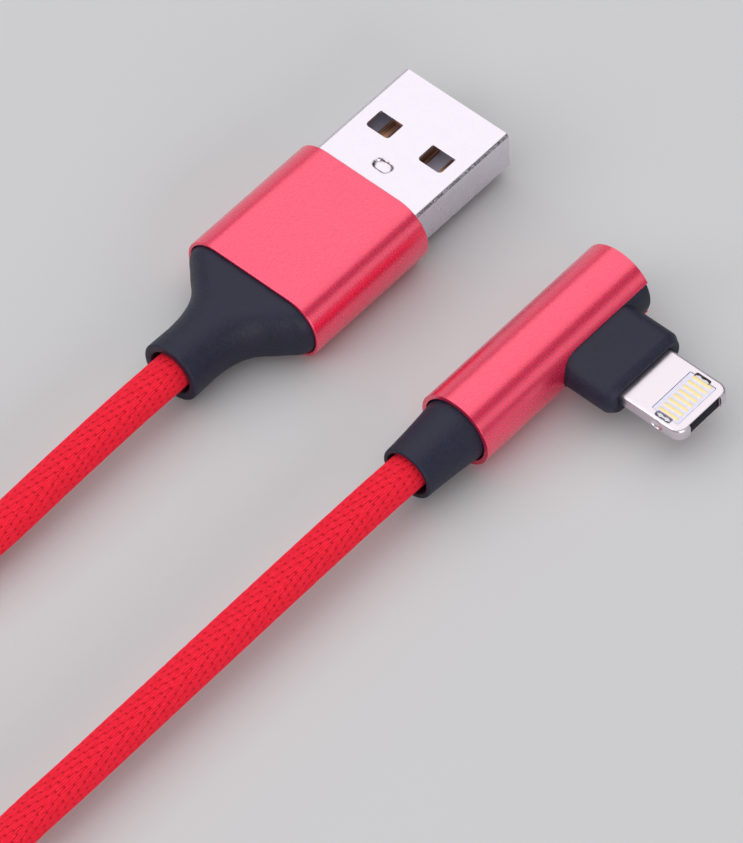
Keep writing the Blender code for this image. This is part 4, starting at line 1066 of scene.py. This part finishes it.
def retainer(name, side):
    """A bar whose width and height swell into two lobes along it, as a cosine of two turns."""
    t = np.linspace(0, 1, 33)
    end = np.sqrt(np.clip(1 - (2 * t - 1)**8, 0.02, 1))
    wave = 0.80 - 0.20 * np.cos(4 * np.pi * t)
    width, height = RETAINER[1] * end * wave, RETAINER_HEIGHT * end
    x, y = RETAINER_AT[side]
    loops = [rounded_loop(w, h, 0.45 * min(w, h), 7) for w, h in zip(width, height)]
    points = rows_along(0, loops, x + RETAINER[0] * (t - 0.5), (y, TUBE_Z + FACE_Z))
    points[..., 2] -= (height / 2 + 0.01 * MM + 0.05 * MM * (1 - wave))[:, None]
    return grid_piece(name, points, cap=True, sharp=50)


for which, side in (("near", -1), ("far", 1)):
    place(retainer(f"retainer_{which}", side), "polished_steel", SPRING_STEEL,
          f"plug_retainer_{which}")

# %% [markdown]
# ## The solids that stay
#
# The plain inner pieces have the right shape already. They keep their solids and only take
# a finish.

# %% Finish the remaining solids
STAYING = {"usb_inner_mould": MOULDING, "usb_tongue": TONGUE, "plug_board": BOARD,
           "plug_chip": CHIP, "usb_crimp": PLATED, "elbow_ferrule": PLATED,
           "_jacket_end": JACKET, "usb_contact_": BRASS, "_wire_": WIRE}  # by part of the name
staying = {name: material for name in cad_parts
           for part, material in STAYING.items() if part in name}
for name, material in staying.items():
    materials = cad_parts[name].data.materials
    materials.clear()
    materials.append(material)
print("solids that stay:", len(staying))

# %% [markdown]
# ## Floor and light
#
# The cable lies on a plain pale floor. Metal shows what is round it, so the light matters as
# much as the finish. A wide soft lamp overhead whitens every flat top. A gap beyond its edge
# and then a dimmer strip on each side draw the dark and light bands along the round sides.
# These lamps are placed by the angle at which the plugs' sides mirror them. Two more stand in
# front, where no long side mirrors them. The left one whitens the phone plug's near edge, and
# the right one lights the colours of the sides and the braid.

# %% Floor
FLOOR_REACH, FLOOR_DROP = 10.0, 0.02 * MM
floor_mesh = bpy.data.meshes.new("floor")
floor_mesh.from_pydata([(x * FLOOR_REACH, y * FLOOR_REACH, -FLOOR_DROP)
                        for x, y in ((-1, -1), (1, -1), (1, 1), (-1, 1))], [], [(0, 1, 2, 3)])
floor_mesh.materials.append(Finish("pale_floor", (0.60, 0.60, 0.61), 0.8).material)
add_object("floor", floor_mesh)

# %% Lights
OVERHEAD_X, OVERHEAD_Y, OVERHEAD_Z = (-1.42, 0.55), (-1.7, 1.5), 1.0
STRIP_REACH, STRIP_LENGTH, STRIP_Y = 1.1, 1.6, 0.48
FILL_SIDE = 0.6


def soft_lamp(name, stand_at, aim, width, depth, radiance):
    """A rectangular lamp that faces a point. Its power is pi times its radiance and area."""
    lamp = bpy.data.lights.new(name, "AREA")
    lamp.shape, lamp.size, lamp.size_y = "RECTANGLE", width, depth
    lamp.energy = radiance * math.pi * width * depth
    back = np.subtract(stand_at, aim)
    back /= np.linalg.norm(back)
    side = np.cross((0.0, 1.0, 0.0), back)
    side /= np.linalg.norm(side)
    add_object(name, lamp, (side, np.cross(back, side), back, stand_at))


def strip_lamp(name, turn, spread, radiance):
    """A strip along Y beside the plugs, placed by its angle from upright and some degrees wide."""
    angle, width = math.radians(turn), 2 * STRIP_REACH * math.tan(math.radians(spread / 2))
    stand_at = (STRIP_REACH * math.sin(angle), STRIP_Y, STRIP_REACH * math.cos(angle))
    soft_lamp(name, stand_at, (0, STRIP_Y, 0), width, STRIP_LENGTH, radiance)


middle = (sum(OVERHEAD_X) / 2, sum(OVERHEAD_Y) / 2)
soft_lamp("overhead", (*middle, OVERHEAD_Z), (*middle, 0), OVERHEAD_X[1] - OVERHEAD_X[0],
          OVERHEAD_Y[1] - OVERHEAD_Y[0], 1.12)
strip_lamp("right_strip", 65, 22, 0.8)
strip_lamp("left_strip", -77, 26, 0.5)
for side, stand_at, radiance in (("left", (-0.52, -0.95, 0.5), 1.6),
                                 ("right", (1.0, -0.55, 0.34), 4.0)):
    soft_lamp(f"front_{side}_fill", stand_at, (0, 0, 0), FILL_SIDE, FILL_SIDE, radiance)
room = bpy.data.worlds.new("room")
room.use_nodes = True
sky = room.node_tree.nodes["Background"].inputs
sky["Color"].default_value, sky["Strength"].default_value = (0.97, 0.97, 1.0, 1.0), 0.16
bpy.context.scene.world = room
